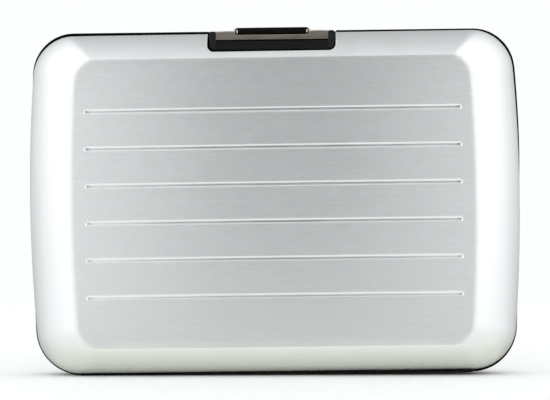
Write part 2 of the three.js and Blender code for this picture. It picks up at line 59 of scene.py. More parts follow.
# %% [markdown]
# The photograph was taken almost straight on, a little from above and from the right, and the camera
# leaned slightly. The lens could be guessed, but it follows from the distance: at the depth of the
# shell's straight skirt, in millimetres, the case has to fill the measured share of the image width.

# %% Camera
IMAGE_WIDTH, IMAGE_HEIGHT = 550, 400
SENSOR_WIDTH = 36.0
CAMERA_DISTANCE = 480 * MM
CAMERA_ELEVATION = math.radians(1.0)
CAMERA_AZIMUTH = math.radians(1.5)
CAMERA_ROLL = math.radians(0.64)
CASE_WIDTH_IN_IMAGE = 489.6
CASE_CENTRE_IN_IMAGE = (274.6, 202.2)
SKIRT = 3.2

shell_low, shell_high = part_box("rear_shell")
rim_low, rim_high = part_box("rear_frame")
case_width = shell_high.x - shell_low.x
case_middle = Vector((0, 0, (rim_low.z + rim_high.z) / 2))

camera_data = bpy.data.cameras.new("photo_camera")
camera_data.sensor_width = SENSOR_WIDTH
image_share = CASE_WIDTH_IN_IMAGE / IMAGE_WIDTH
camera_data.lens = SENSOR_WIDTH * image_share * (CAMERA_DISTANCE - SKIRT * MM) / case_width
camera = bpy.data.objects.new("photo_camera", camera_data)
bpy.context.scene.collection.objects.link(camera)
bpy.context.scene.camera = camera

back = Vector((
    math.sin(CAMERA_AZIMUTH) * math.cos(CAMERA_ELEVATION),
    -math.cos(CAMERA_AZIMUTH) * math.cos(CAMERA_ELEVATION),
    math.sin(CAMERA_ELEVATION),
))
turned = (-back).to_track_quat("-Z", "Y").to_matrix().to_4x4()
pixel = SENSOR_WIDTH / IMAGE_WIDTH * CAMERA_DISTANCE / camera_data.lens
right_of_middle = (CASE_CENTRE_IN_IMAGE[0] - IMAGE_WIDTH / 2) * pixel
below_middle = (CASE_CENTRE_IN_IMAGE[1] - IMAGE_HEIGHT / 2) * pixel
aim = case_middle - turned.col[0].xyz * right_of_middle + turned.col[1].xyz * below_middle
lean = Matrix.Rotation(-CAMERA_ROLL, 4, "Z")
camera.matrix_world = Matrix.Translation(aim + back * CAMERA_DISTANCE) @ turned @ lean
print("lens in mm:", round(camera_data.lens, 1))

# %% [markdown]
# Materials are built from nodes, so a few helpers keep that short. `node` adds one node and links or
# sets its inputs, and `calc` adds one sum. A value is either a number or the output of another node.

# %% Helpers for nodes
def node(tree, kind, inputs=None, **settings):
    made = tree.nodes.new(kind)
    for name, value in settings.items():
        setattr(made, name, value)
    for name, value in (inputs or {}).items():
        if isinstance(value, bpy.types.NodeSocket):
            tree.links.new(value, made.inputs[name])
        else:
            made.inputs[name].default_value = value
    return made


def calc(tree, operation, *values):
    made = tree.nodes.new("ShaderNodeMath")
    made.operation = operation
    for socket, value in zip(made.inputs, values):
        if isinstance(value, bpy.types.NodeSocket):
            tree.links.new(value, socket)
        else:
            socket.default_value = value
    return made.outputs[0]


def ramp(tree, value, low, high, to_low=0.0, to_high=1.0, kind="SMOOTHSTEP"):
    """A value mapped from one range onto another."""
    names = ("Value", "From Min", "From Max", "To Min", "To Max")
    inputs = dict(zip(names, (value, low, high, to_low, to_high)))
    return node(tree, "ShaderNodeMapRange", inputs, interpolation_type=kind).outputs["Result"]


# %% [markdown]
# The light is a white tent: the world is white to the camera and lights the table evenly. Metal shows
# what is round it, so the tent has the greys of a real one for mirrored rays: bright side walls, a
# softer seam along the ceiling, a dim upright slit in front, where the camera looks in, and a greyer
# wall behind. The slit is dimmest level with the table, where its cloth leaves a gap.
# Lamps could do this too, but their edges would show in the polished bands.

# %% Greys of the tent
bpy.context.scene.view_settings.view_transform = "Standard"
TENT_LIGHT = 0.9
TENT_SIDE, TENT_HIGH_SIDE = 1.32, 1.5
TENT_CEILING = 0.65
TENT_SLIT, TENT_GAP = 0.36, 0.1
TENT_BACK = 0.48
SLIT_PLACE, SLIT_HALF, CEILING_HALF = -0.0075, 0.188, 0.31
SLIT_FADE, SLIT_END = math.sin(math.radians(9)), math.sin(math.radians(35))
GAP_END = math.sin(math.radians(9))
SIDE_START, SIDE_END, SIDE_GREY, BACK_GREY = -0.9, -0.2, 0.46, 0.45
SIDE_TOP, SLIT_BACK = 0.6, -0.3
TENT_COLOUR = (0.985, 1.0, 1.0, 1)


def blended(tree, share, low, high):
    """A value that goes from low to high as the share goes from 0 to 1."""
    return ramp(tree, share, 0, 1, low, high, "LINEAR")


def beside_slit(tree, sideways):
    """How far a direction is from the middle of the slit: 0 in the middle, 1 beside it."""
    share = calc(tree, "DIVIDE", calc(tree, "SUBTRACT", sideways, SLIT_PLACE), SLIT_HALF)
    return calc(tree, "MINIMUM", calc(tree, "MULTIPLY", share, share), 1.0)


def towards_back(tree, forwards):
    """How much of the grey back wall a direction shows: it comes in fast past the sides, then slowly."""
    past_sides = ramp(tree, forwards, SIDE_START, SIDE_END, 0, SIDE_GREY, "LINEAR")
    to_back = ramp(tree, forwards, SIDE_END, 1, 0, BACK_GREY, "LINEAR")
    return calc(tree, "ADD", past_sides, to_back)


print("side walls, ceiling, slit and back:", TENT_SIDE, TENT_CEILING, TENT_SLIT, TENT_BACK)

# %% [markdown]
# The world works out one grey for each direction: first the walls and the ceiling, then the slit, then
# the back. A light path tells what kind of ray asks. The camera sees plain white, a mirrored ray sees
# the greys, and every other ray brings the even light.

# %% White tent
world = bpy.data.worlds.new("white_tent")
bpy.context.scene.world = world
world.use_nodes = True
sky = world.node_tree
direction = node(sky, "ShaderNodeTexCoord").outputs["Generated"]
axis = node(sky, "ShaderNodeSeparateXYZ", {"Vector": direction}).outputs
from_seam = calc(sky, "ABSOLUTE", calc(sky, "SUBTRACT", axis["X"], SLIT_PLACE))
side_wall = ramp(sky, axis["Z"], 0, SIDE_TOP, TENT_SIDE, TENT_HIGH_SIDE)
wall = ramp(sky, from_seam, 0, CEILING_HALF, TENT_CEILING, side_wall)
above = ramp(sky, axis["Z"], SLIT_FADE, SLIT_END)
behind = ramp(sky, axis["Y"], SLIT_BACK, 0.0)
past_slit = calc(sky, "ADD", beside_slit(sky, axis["X"]), calc(sky, "MAXIMUM", above, behind))
open_share = calc(sky, "MINIMUM", past_slit, 1.0)
dim = ramp(sky, calc(sky, "ABSOLUTE", axis["Z"]), 0, GAP_END, TENT_GAP, TENT_SLIT)
with_slit = blended(sky, open_share, dim, wall)
mirrored = blended(sky, towards_back(sky, axis["Y"]), with_slit, TENT_BACK)
rays = node(sky, "ShaderNodeLightPath").outputs
mirror_ray = calc(sky, "MAXIMUM", rays["Is Glossy Ray"], rays["Is Transmission Ray"])
seen_ray = calc(sky, "MAXIMUM", rays["Is Camera Ray"], mirror_ray)
strength = blended(sky, seen_ray, TENT_LIGHT, blended(sky, mirror_ray, 1.0, mirrored))
tent = sky.nodes["Background"]
tent.inputs["Color"].default_value = TENT_COLOUR
sky.links.new(strength, tent.inputs["Strength"])
print("tent nodes:", len(sky.nodes))

# %% [markdown]
# The table is a white sheet that ends a hand's span behind the case. The case leans by a third of a
# degree on one corner of its foot; the case is the fixed frame, so here the table leans instead.

# %% Table top
TABLE_HALF, TABLE_BACK = 3.0, 0.221
TABLE_LEAN, TABLE_TOUCH = math.radians(0.34), -0.045
table_mesh = bpy.data.meshes.new("table")
corners = [(-TABLE_HALF, -TABLE_HALF, 0), (TABLE_HALF, -TABLE_HALF, 0),
           (TABLE_HALF, TABLE_BACK, 0), (-TABLE_HALF, TABLE_BACK, 0)]
table_mesh.from_pydata(corners, [], [(0, 1, 2, 3)])
table = bpy.data.objects.new("table", table_mesh)
bpy.context.scene.collection.objects.link(table)
touch = Matrix.Translation((TABLE_TOUCH, 0, 0))
table.matrix_world = touch @ Matrix.Rotation(TABLE_LEAN, 4, "Y") @ touch.inverted()
print("table edge behind the case in m:", TABLE_BACK)

# %% [markdown]
# The soft light leaves the table pale grey, and more light would bleach the metal, so its colour is
# lifted to white for the camera alone. The shadow under the case is lifted in the same ratio, so it
# stays. Only mirrored rays see the rest, painted light and shade for the metal to mirror: the table is
# painted dim far in front, where the slit is, painted brightest beside the case, and painted darker,
# as shade, and a little yellow close to its foot.

# %% Table finish
TABLE_WHITE = 1.05 / TENT_LIGHT
TABLE_SLIT, TABLE_NEAR, TABLE_FAR = 0.2, -0.04, -0.36
# For mirrored rays only: the foot level and the tint are painted shade close to the case, tinted a little
# yellow, and the side level is painted light beside it.
TABLE_FOOT_SHADE, TABLE_FRONT, TABLE_SIDE_LIGHT = 0.92, 1.06, 1.26
FOOT_NEAR, FOOT_FAR, CASE_HALF, SIDE_FAR = 0.006, 0.024, 0.05, 0.07
FOOT_SHADE_TINT, TINT_NEAR, TINT_FAR = (1.0, 1.01, 0.94), 0.012, 0.04
table_look = bpy.data.materials.new("table_white")
table_look.use_nodes = True
tree = table_look.node_tree
rays = node(tree, "ShaderNodeLightPath").outputs
place = node(tree, "ShaderNodeTexCoord").outputs["Object"]
towards = node(tree, "ShaderNodeVectorMath", {0: place}, operation="NORMALIZE").outputs["Vector"]
towards = node(tree, "ShaderNodeSeparateXYZ", {"Vector": towards}).outputs
spot = node(tree, "ShaderNodeSeparateXYZ", {"Vector": place}).outputs
near = ramp(tree, spot["Y"], TABLE_FAR, TABLE_NEAR)
lit = calc(tree, "MAXIMUM", beside_slit(tree, towards["X"]), near)
in_front = calc(tree, "MINIMUM", calc(tree, "MAXIMUM", spot["X"], -CASE_HALF), CASE_HALF)
beyond = calc(tree, "SUBTRACT", spot["X"], in_front)
apart = node(tree, "ShaderNodeCombineXYZ", {"X": beyond, "Y": spot["Y"]}).outputs["Vector"]
distance = node(tree, "ShaderNodeVectorMath", {0: apart}, operation="LENGTH").outputs["Value"]
close = ramp(tree, distance, TINT_FAR, TINT_NEAR)
apart = node(tree, "ShaderNodeVectorMath", {0: apart}, operation="NORMALIZE").outputs["Vector"]
apart = node(tree, "ShaderNodeSeparateXYZ", {"Vector": apart}).outputs
# Painted shade close to the foot of the case, and painted light beside it, for mirrored rays only.
foot = ramp(tree, distance, FOOT_NEAR, FOOT_FAR, TABLE_FOOT_SHADE, TABLE_FRONT)
aside = ramp(tree, calc(tree, "ABSOLUTE", beyond), 0, SIDE_FAR, foot, TABLE_SIDE_LIGHT)
front_table = blended(tree, lit, TABLE_SLIT, aside)
mirrored_table = blended(tree, towards_back(tree, apart["Y"]), front_table, TENT_BACK)
shown_table = blended(tree, rays["Is Glossy Ray"], 1.0, mirrored_table)
white = blended(tree, rays["Is Camera Ray"], shown_table, TABLE_WHITE)
# A painted yellow tint in the painted shade close to the foot, for mirrored rays only.
tint_share = calc(tree, "MULTIPLY", rays["Is Glossy Ray"], close)
tint_inputs = {"Fac": tint_share, "Color1": (1, 1, 1, 1), "Color2": (*FOOT_SHADE_TINT, 1)}
tint = node(tree, "ShaderNodeMixRGB", tint_inputs).outputs["Color"]
tinted_white = node(tree, "ShaderNodeVectorMath", {0: tint, "Scale": white}, operation="SCALE")
paint_inputs = {"Color": tinted_white.outputs["Vector"]}
paint = node(tree, "ShaderNodeBsdfDiffuse", paint_inputs).outputs["BSDF"]
tree.links.new(paint, tree.nodes["Material Output"].inputs["Surface"])
table_mesh.materials.append(table_look)
print("table nodes:", len(tree.nodes))

# %% [markdown]
# No real finish is one flat colour. Noise of the size of the real marks mixes two close colours and two
# close roughnesses, and a bump follows it. Noise lies mostly between NOISE_LOW and NOISE_HIGH, so that
# range is spread over the whole change. Pictures would need unwrapping, and noise does not.

# %% Helpers for finishes
NOISE_LOW, NOISE_HIGH = 0.3, 0.7


def new_look(name, metallic=0.0):
    look = bpy.data.materials.new(name)
    look.use_nodes = True
    shader = look.node_tree.nodes["Principled BSDF"]
    shader.inputs["Metallic"].default_value = metallic
    return look, look.node_tree, shader


def streaks(tree, along, across, detail=3.0):
    """Noise drawn out along X: hairlines of that length, and that far apart, in millimetres."""
    place = node(tree, "ShaderNodeTexCoord").outputs["Object"]
    scale = (1 / (along * MM), 1 / (across * MM), 1 / (across * MM))
    mapped = node(tree, "ShaderNodeMapping", {"Vector": place, "Scale": scale}).outputs["Vector"]
    noise = node(tree, "ShaderNodeTexNoise", {"Vector": mapped, "Scale": 1.0, "Detail": detail})
    return noise.outputs["Fac"]


def grain(tree, size, detail=2.0):
    """Even noise with that grain size, in millimetres."""
    place = node(tree, "ShaderNodeTexCoord").outputs["Object"]
    noise = node(tree, "ShaderNodeTexNoise", {"Vector": place, "Scale": 1 / (size * MM), "Detail": detail})
    return noise.outputs["Fac"]


def coloured(tree, shader, value, dark, light):
    """The colour lies between two, by a value from 0 to 1."""
    mixed = node(tree, "ShaderNodeMixRGB", {"Fac": value, "Color1": (*dark, 1), "Color2": (*light, 1)})
    tree.links.new(mixed.outputs["Color"], shader.inputs["Base Color"])


def roughened(tree, shader, noise, smooth, rough):
    """The roughness lies between two, by a noise."""
    tree.links.new(ramp(tree, noise, NOISE_LOW, NOISE_HIGH, smooth, rough), shader.inputs["Roughness"])


def bumped(tree, shader, height, distance, strength=1.0):
    """A bump that follows a height, with its distance in millimetres."""
    inputs = {"Height": height, "Distance": distance * MM, "Strength": strength}
    tree.links.new(node(tree, "ShaderNodeBump", inputs).outputs["Normal"], shader.inputs["Normal"])


# %% [markdown]
# The sheet has four finishes: the panel is brushed along the case, the curved bands are satin, the lines
# pressed into the panel are bright, and the inside is plain. Brushing could be a picture of scratches,
# but stretched noise gives hairlines of any length without one. The same hairlines change the colour, the
# roughness and the bump, as real scratches do.

# %% Aluminium looks
FINE_SHARE = 0.75


def brushed_aluminium():
    look, tree, shader = new_look("brushed_aluminium", metallic=1)
    hairlines = streaks(tree, along=2.4, across=0.22)
    wide_lines = streaks(tree, along=30, across=0.5)
    fine_part = calc(tree, "MULTIPLY", hairlines, FINE_SHARE)
    wide_part = calc(tree, "MULTIPLY", wide_lines, 1 - FINE_SHARE)
    lines = calc(tree, "ADD", fine_part, wide_part)
    shade = ramp(tree, lines, NOISE_LOW, NOISE_HIGH)
    coloured(tree, shader, shade, (0.83, 0.855, 0.853), (0.89, 0.91, 0.908))
    roughened(tree, shader, lines, smooth=0.28, rough=0.35)
    shader.inputs["Anisotropic"].default_value = 1.0
    shader.inputs["Anisotropic Rotation"].default_value = 0.25
    bumped(tree, shader, hairlines, distance=0.004, strength=0.5)
    return look


def satin_aluminium():
    look, tree, shader = new_look("satin_aluminium", metallic=1)
    fine = grain(tree, size=0.25)
    cloud = grain(tree, size=9)
    coloured(tree, shader, fine, (0.89, 0.905, 0.905), (0.93, 0.945, 0.945))
    roughened(tree, shader, cloud, smooth=0.2, rough=0.25)
    bumped(tree, shader, fine, distance=0.002, strength=0.4)
    return look


def polished_aluminium():
    """The pressed grooves, which the tool left bright."""
    look, tree, shader = new_look("polished_aluminium", metallic=1)
    hairlines = streaks(tree, along=9, across=0.15)
    coloured(tree, shader, hairlines, (0.9, 0.915, 0.915), (0.96, 0.97, 0.97))
    roughened(tree, shader, hairlines, smooth=0.16, rough=0.24)
    bumped(tree, shader, hairlines, distance=0.002, strength=0.4)
    return look


def mill_aluminium():
    """The inside of the sheet, as it left the rolling mill."""
    look, tree, shader = new_look("mill_aluminium", metallic=1)
    roll_lines = streaks(tree, along=30, across=0.5)
    cloud = grain(tree, size=6)
    coloured(tree, shader, roll_lines, (0.62, 0.635, 0.635), (0.74, 0.75, 0.75))
    roughened(tree, shader, cloud, smooth=0.42, rough=0.54)
    bumped(tree, shader, roll_lines, distance=0.004, strength=0.4)
    return look


panel_look = brushed_aluminium()
band_look = satin_aluminium()
line_look = polished_aluminium()
inside_look = mill_aluminium()
print("looks:", panel_look.name, band_look.name, line_look.name, inside_look.name)

# %% [markdown]
# Each half of the case is one pressed sheet. Its outline is a rounded rectangle with slightly bowed
# sides, and rings of that outline, each further in and higher, make the curved band up to the panel.
# A subdivided box would soften the crease, so the rings are computed: an outline is six numbers, and any
# ring is a mix of the outer outline and the panel's.

# %% Outlines of the case
CORNER, FOOT_CORNER, SIDE_BOW = 8.6, 9.1, 2.05
HEAD_BACK, FOOT_BACK = 0.1, 0.14
SIDE_BAND, HEAD_BAND, FOOT_BAND, PANEL_CORNER, PANEL_BOW = 9.55, 5.75, 6.0, 4.6, 1.2
CORNER_STEPS = 16
half_width = shell_high.x / MM
half_height = (shell_high.z - shell_low.z) / 2 / MM
middle = (shell_high.z + shell_low.z) / 2 / MM
shell_top, shell_foot = half_height - HEAD_BACK, FOOT_BACK - half_height
panel_top, panel_foot = shell_top - HEAD_BAND, shell_foot + FOOT_BAND


def outline(half, top, foot, head_corner, foot_corner, bow):
    """Half width, half height, two corner radii, bow of the sides, and height of the middle."""
    return np.array([half, (top - foot) / 2, head_corner, foot_corner, bow, (top + foot) / 2])


shell_edge = outline(half_width, shell_top, shell_foot, CORNER, FOOT_CORNER, SIDE_BOW)
panel_edge = outline(half_width - SIDE_BAND, panel_top, panel_foot, PANEL_CORNER, PANEL_CORNER, PANEL_BOW)


def inset(edge, wall):
    """The same outline, further in by a wall."""
    return edge - np.array([wall, wall, wall, wall, 0, 0])


def side_rows(edge, shares):
    """Heights and half widths of an outline, from the top row to the bottom row."""
    wide, high, corner, foot, bow, lift = edge
    turn = np.linspace(math.pi / 2, 0, CORNER_STEPS + 1)
    head_end, foot_end = high - corner, foot - high
    heights = [head_end + corner * np.sin(turn), head_end + (foot_end - head_end) * np.asarray(shares),
               foot_end - foot * np.sin(turn[::-1])]
    widths = [wide - corner + corner * np.cos(turn), np.full(len(shares), wide),
              wide - foot + foot * np.cos(turn[::-1])]
    heights, widths = np.concatenate(heights), np.concatenate(widths)
    return heights + lift, widths * (1 - bow / wide * (heights / high) ** 2)


print("half width and half height in mm:", round(half_width, 2), round(half_height, 2))

# %% [markdown]
# Six lines are pressed into each panel: a groove outside and a rib inside. They are sunk in the mesh
# itself, so that they are part of its shape. The rows of the grid lie close together at the lines and
# far apart between them.

# %% Rows of the sheet
LINE_COUNT, LINE_PITCH, LINE_RAISE, LINE_WIDTH = 6, 8.255, 0.13, 1.15
SHOULDER, LINE_FLATNESS = 0.5, 4
LINE_ROWS, LAND_ROWS, FOOT_ROOM = 19, 4, 0.07
CREASE_ROUND = 0.8
line_heights = (np.arange(LINE_COUNT) - (LINE_COUNT - 1) / 2)[::-1] * LINE_PITCH + LINE_RAISE
line_half = LINE_WIDTH / 2 * (1 + SHOULDER) ** (1 / LINE_FLATNESS)
grid_edge = inset(panel_edge, CREASE_ROUND)

head_end = grid_edge[5] + grid_edge[1] - grid_edge[2]
foot_end = grid_edge[5] - grid_edge[1] + grid_edge[3]
row_heights = []
last = head_end
for line in line_heights:
    row_heights.extend(np.linspace(last, line + line_half + FOOT_ROOM, LAND_ROWS + 1)[1:])
    row_heights.extend(np.linspace(line + line_half, line - line_half, LINE_ROWS))
    last = line - line_half - FOOT_ROOM
    row_heights.append(last)
row_heights.extend(np.linspace(last, foot_end, LAND_ROWS + 1)[1:-1])
row_shares = (np.array(row_heights) - head_end) / (foot_end - head_end)
print("rows of the sheet:", len(row_shares) + 2 * CORNER_STEPS + 2)

# %% [markdown]
# Columns work the same way. Near the mouth for the clasp they are fixed, so that its edge can follow
# them. Beyond it they stretch with the width of each row, and lie close together where the lines end.

# %% Columns of the sheet
MOUTH_START, MOUTH_END, MOUTH_CLEAR, FIXED_REACH = 12.3, 14.7, 15.6, 17.0
LINE_END_MARGIN, LINE_END_STEEP, RUN_OUT_LENGTH = 3.5, 1.3, 1.2
line_cap = line_half / LINE_END_STEEP
line_reach = panel_edge[0] - LINE_END_MARGIN - line_cap
fixed = np.concatenate([
    np.linspace(0, MOUTH_START, 5), np.linspace(MOUTH_START, MOUTH_END, 9)[1:], [MOUTH_CLEAR, FIXED_REACH],
])
stretch = grid_edge[0] - FIXED_REACH
near_end = (line_reach - FIXED_REACH) / stretch
past_end = near_end + line_cap / stretch
run_out_start = near_end - RUN_OUT_LENGTH / stretch
clear = past_end + FOOT_ROOM / stretch
stretched = np.concatenate([
    np.linspace(0, run_out_start, 10)[1:], np.linspace(run_out_start, near_end, 9)[1:],
    np.linspace(near_end, past_end, 9)[1:], np.linspace(clear, 1, 5),
])


def columns(reach, lined=False):
    """Column places out to a reach: fixed near the clasp, stretched beyond it, or beyond the line ends."""
    right = np.concatenate([fixed, FIXED_REACH + (reach - FIXED_REACH) * stretched])
    if lined:
        right = np.interp(right, FIXED_REACH + (reach - FIXED_REACH) * np.array([0, clear, 1]),
                          [FIXED_REACH, FIXED_REACH + stretch * clear, reach])
        right[:len(fixed)] = fixed
    return np.concatenate([-right[:0:-1], right])


print("columns of the sheet:", len(columns(grid_edge[0])))

# %% [markdown]
# Each line has a flat floor and rounded shoulders, and the floor rises towards its ends, where the press
# tool runs out. A formula gives the depth at any point, so the same one sinks the grid here and later
# tells which faces are part of a line.

# %% Depth of the pressed lines
LINE_DEPTH, RUN_OUT = 0.2, 0.16


def groove_depth(x, z):
    """Depth of the pressed lines: a flat floor, rounded shoulders, and ends that run out."""
    beyond = np.maximum(np.abs(x) - line_reach, 0)
    run_out = np.clip((np.abs(x) - line_reach) / RUN_OUT_LENGTH + 1, 0, 1)
    deepest = LINE_DEPTH * (1 - RUN_OUT * run_out ** 2)
    depth = np.zeros_like(x)
    for line in line_heights:
        share = np.hypot(beyond * LINE_END_STEEP, z - line) / (LINE_WIDTH / 2)
        wall = 1 - share ** LINE_FLATNESS
        rounded = np.maximum(1 - np.abs(wall) / SHOULDER, 0) ** 3 * SHOULDER / 6
        depth += deepest * (np.maximum(wall, 0) + rounded)
    return depth


print("deepest point in mm:", round(float(groove_depth(np.zeros(1), line_heights[:1])[0]), 3))

# %% [markdown]
# The band is an arc: it starts upright at the skirt and meets the panel at a slope, so there is a crease
# between them. A press cannot make it sharp, and along the foot it is softer still. A bevel modifier
# would round it evenly, so the rounding is computed, as a fall below the sharp crease.

# %% Band and crease
PANEL_DEPTH, BAND_SWEEP = 9.8, math.radians(65)
FOOT_ROUND, SOFT_START, SOFT_END = 2.0, 34.0, 42.0
full_cos, full_sin = 1 - math.cos(BAND_SWEEP), math.sin(BAND_SWEEP)
crease_slope = (PANEL_DEPTH - SKIRT) / math.tan(BAND_SWEEP) * full_cos / full_sin


def band_depth(share):
    """Depth of the band, by the share of the way from the outer edge to the panel."""
    angle = np.arccos(1 - np.asarray(share) * full_cos)
    return SKIRT + (PANEL_DEPTH - SKIRT) * np.sin(angle) / full_sin


def crease_fall(distance, rounding):
    """How far a rounded crease lies below the sharp one, at a distance inwards from it."""
    slope = crease_slope / HEAD_BAND
    reach = np.clip(distance, -rounding, rounding)
    return slope * (rounding - reach) ** 2 / (4 * rounding) - slope * np.maximum(-reach, 0)


def foot_fall(x, z, distance):
    """How much further the softer crease along the foot falls; it fades out towards the corners."""
    share = np.clip((SOFT_END - np.abs(x)) / (SOFT_END - SOFT_START), 0, 1)
    extra = crease_fall(distance, FOOT_ROUND) - crease_fall(distance, CREASE_ROUND)
    return np.where(z < 0, share ** 2 * (3 - 2 * share) * extra, 0)


print("fall of the crease in mm:", round(float(crease_fall(0, CREASE_ROUND)), 3))

# %% [markdown]
# The outer skin is a grid for the panel and rings of points round it, from the crease out to the edge at
# the seam. Each ring has as many points as the border of the grid, so that every face is a quad.

# %% Outer skin of a shell
EDGE_DEPTH, PANEL_CROWN = shell_low.y / MM, 0.2
BAND_RINGS, CREASE_PARTS, PANEL_RINGS = 26, (0.5, 0, -0.5, -1), 2
TINY = 1e-6


def perimeter(edge):
    """Points of one ring, in the order of the grid's border: top, right, bottom, left."""
    heights, widths = side_rows(edge, row_shares)
    top, bottom = columns(widths[0]), columns(widths[-1])
    x = np.concatenate([top, widths[1:-1], bottom[::-1], -widths[-2:0:-1]])
    z = np.concatenate([np.full(len(top), heights[0]), heights[1:-1],
                        np.full(len(bottom), heights[-1]), heights[-2:0:-1]])
    return x, z


def shell_rings():
    """Outlines, depths and distances inwards, from the rounded crease out to the edge at the seam."""
    rings = []
    for part in CREASE_PARTS:
        distance = part * CREASE_ROUND
        share = 1 + min(distance, 0) / HEAD_BAND
        edge = inset(panel_edge, distance) if distance > 0 else shell_edge + (panel_edge - shell_edge) * share
        depth = PANEL_DEPTH if distance > 0 else band_depth(share)
        rings.append((edge, depth - crease_fall(distance, CREASE_ROUND), distance))
    last_angle = math.acos(1 - (1 - CREASE_ROUND / HEAD_BAND) * full_cos)
    for angle in np.linspace(last_angle, 0, BAND_RINGS)[1:]:
        share = (1 - math.cos(angle)) / full_cos
        edge = shell_edge + (panel_edge - shell_edge) * share
        rings.append((edge, float(band_depth(share)), (share - 1) * HEAD_BAND))
    rings.append((shell_edge, EDGE_DEPTH, -HEAD_BAND))
    return rings


def skin_mesh():
    """Points and faces of the outer skin, and how many of the faces, the first ones, are panel."""
    heights, widths = side_rows(grid_edge, row_shares)
    straight = (heights <= head_end + TINY) & (heights >= foot_end - TINY)
    grid_x = np.array([columns(width, lined) for width, lined in zip(widths, straight)])
    grid_z = np.repeat(heights[:, None], grid_x.shape[1], axis=1)
    rows, cols = grid_x.shape
    share_x, share_z = grid_x / widths[:, None], (grid_z - grid_edge[5]) / grid_edge[1]
    crown = PANEL_CROWN * (1 - share_x ** 2) * (1 - share_z ** 4)
    depth = PANEL_DEPTH + crown - groove_depth(grid_x, grid_z)
    depth -= foot_fall(grid_x, grid_z, grid_z - panel_foot)
    points = [np.stack([grid_x, depth, grid_z], axis=2).reshape(-1, 3)]
    index = np.arange(rows * cols).reshape(rows, cols)
    panel = np.stack([index[:-1, :-1], index[1:, :-1], index[1:, 1:], index[:-1, 1:]], axis=2)
    faces = [panel.reshape(-1, 4)]
    border = np.concatenate([index[0], index[1:-1, -1], index[-1, ::-1], index[-2:0:-1, 0]])
    start = rows * cols
    for edge, depth, distance in shell_rings():
        x, z = perimeter(edge)
        points.append(np.stack([x, depth - foot_fall(x, z, distance), z], axis=1))
        ring = np.arange(start, start + len(x))
        start += len(x)
        faces.append(np.stack([border, np.roll(border, -1), np.roll(ring, -1), ring], axis=1))
        border = ring
    panel_faces = sum(len(strip) for strip in faces[:1 + PANEL_RINGS])
    return np.concatenate(points), np.concatenate(faces)[:, ::-1], panel_faces


points, faces, panel_faces = skin_mesh()
print("points and faces of the skin:", len(points), len(faces))

# %% [markdown]
# The mouth for the clasp is open to the upper edge. It could be cut with a boolean, but deleting the
# faces inside it and pulling the edge onto the outline keeps clean quads.

# %% Mouth for the clasp
NOTCH_HALF, NOTCH_DEPTH, NOTCH_CORNER = 14.3, 4.4, 1.5
notch_floor = half_height - NOTCH_DEPTH


def in_notch(x, z):
    """Distance of a point into the clasp mouth, by its outline: a U with rounded corners."""
    corner_x = np.maximum(np.abs(x) - (NOTCH_HALF - NOTCH_CORNER), 0)
    corner_z = np.maximum(notch_floor + NOTCH_CORNER - z, 0)
    return NOTCH_CORNER - np.hypot(corner_x, corner_z)


def onto_notch(x, z):
    """The point of the outline of the mouth that is nearest to a point."""
    core_x = np.clip(x, -(NOTCH_HALF - NOTCH_CORNER), NOTCH_HALF - NOTCH_CORNER)
    core_z = max(z, notch_floor + NOTCH_CORNER)
    out = Vector((x - core_x, z - core_z))
    if out.length < TINY:
        return x, z
    out *= NOTCH_CORNER / out.length
    return core_x + out.x, core_z + out.y


centres = points[faces].mean(axis=1)
cut = (in_notch(centres[:, 0], centres[:, 2]) > 0) & (centres[:, 2] > 0)
kept = ~cut
edge_points = np.intersect1d(faces[cut].ravel(), faces[kept].ravel())
for i in edge_points:
    x, z = onto_notch(points[i, 0], points[i, 2])
    share = np.clip((shell_top - z) / HEAD_BAND, 0, 1)
    depth = points[i, 1] if points[i, 1] < SKIRT - TINY else float(band_depth(share))
    points[i] = (x, depth, z)
print("skin faces:", int(kept.sum()), "cut for the clasp:", int(cut.sum()))

# %% [markdown]
# The inside is the same skin, moved in by the thickness of the sheet. A solidify modifier would do that
# too, but it folds over itself at the narrow grooves, so the inner skin is computed: it moves along the
# normals of a skin without grooves. Strips along the cut edges close the sheet.

# %% Inner skin and cut edges
SHEET = 0.8


def thickened(outside, skin):
    """Points and faces of a closed sheet: the outer skin, then the inner one, then the cut edges."""
    count = len(outside)
    sunk = groove_depth(outside[:, 0], outside[:, 2])[:, None] * np.array([0, 1, 0])
    corners = (outside + sunk)[skin]
    across = np.cross(corners[:, 2] - corners[:, 0], corners[:, 3] - corners[:, 1])
    normals = np.zeros_like(outside)
    for corner in range(4):
        np.add.at(normals, skin[:, corner], across)
    normals /= np.maximum(np.linalg.norm(normals, axis=1, keepdims=True), TINY)
    ends = np.stack([skin, np.roll(skin, -1, axis=1)], axis=2).reshape(-1, 2)
    border = ends[~np.isin(ends @ [count, 1], ends @ [1, count])]
    rim = np.concatenate([border[:, ::-1], border + count], axis=1)
    sheet = np.concatenate([outside, outside - SHEET * normals])
    return sheet, np.concatenate([skin, skin[:, ::-1] + count, rim])


sheet_points, sheet_faces = thickened(points, faces[kept])
print("sheet points and faces:", len(sheet_points), len(sheet_faces))

# %% [markdown]
# Every piece made here is a mesh object with its looks and the CAD solids that it stands for. No real
# edge is sharp, so most pieces also get a narrow bevel.

# %% Helpers for pieces
def make_piece(name, points, faces, looks, slot, nodes=()):
    """A mesh object from points in millimetres; nodes are the CAD solids that it stands for."""
    mesh = bpy.data.meshes.new(name)
    corners = [tuple(int(i) for i in face) for face in faces]
    mesh.from_pydata([tuple(point) for point in np.asarray(points) * MM], [], corners)
    for look in looks:
        mesh.materials.append(look)
    mesh.shade_smooth()
    made = bpy.data.objects.new(name, mesh)
    bpy.context.scene.collection.objects.link(made)
    if nodes:
        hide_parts(*nodes)
    return made


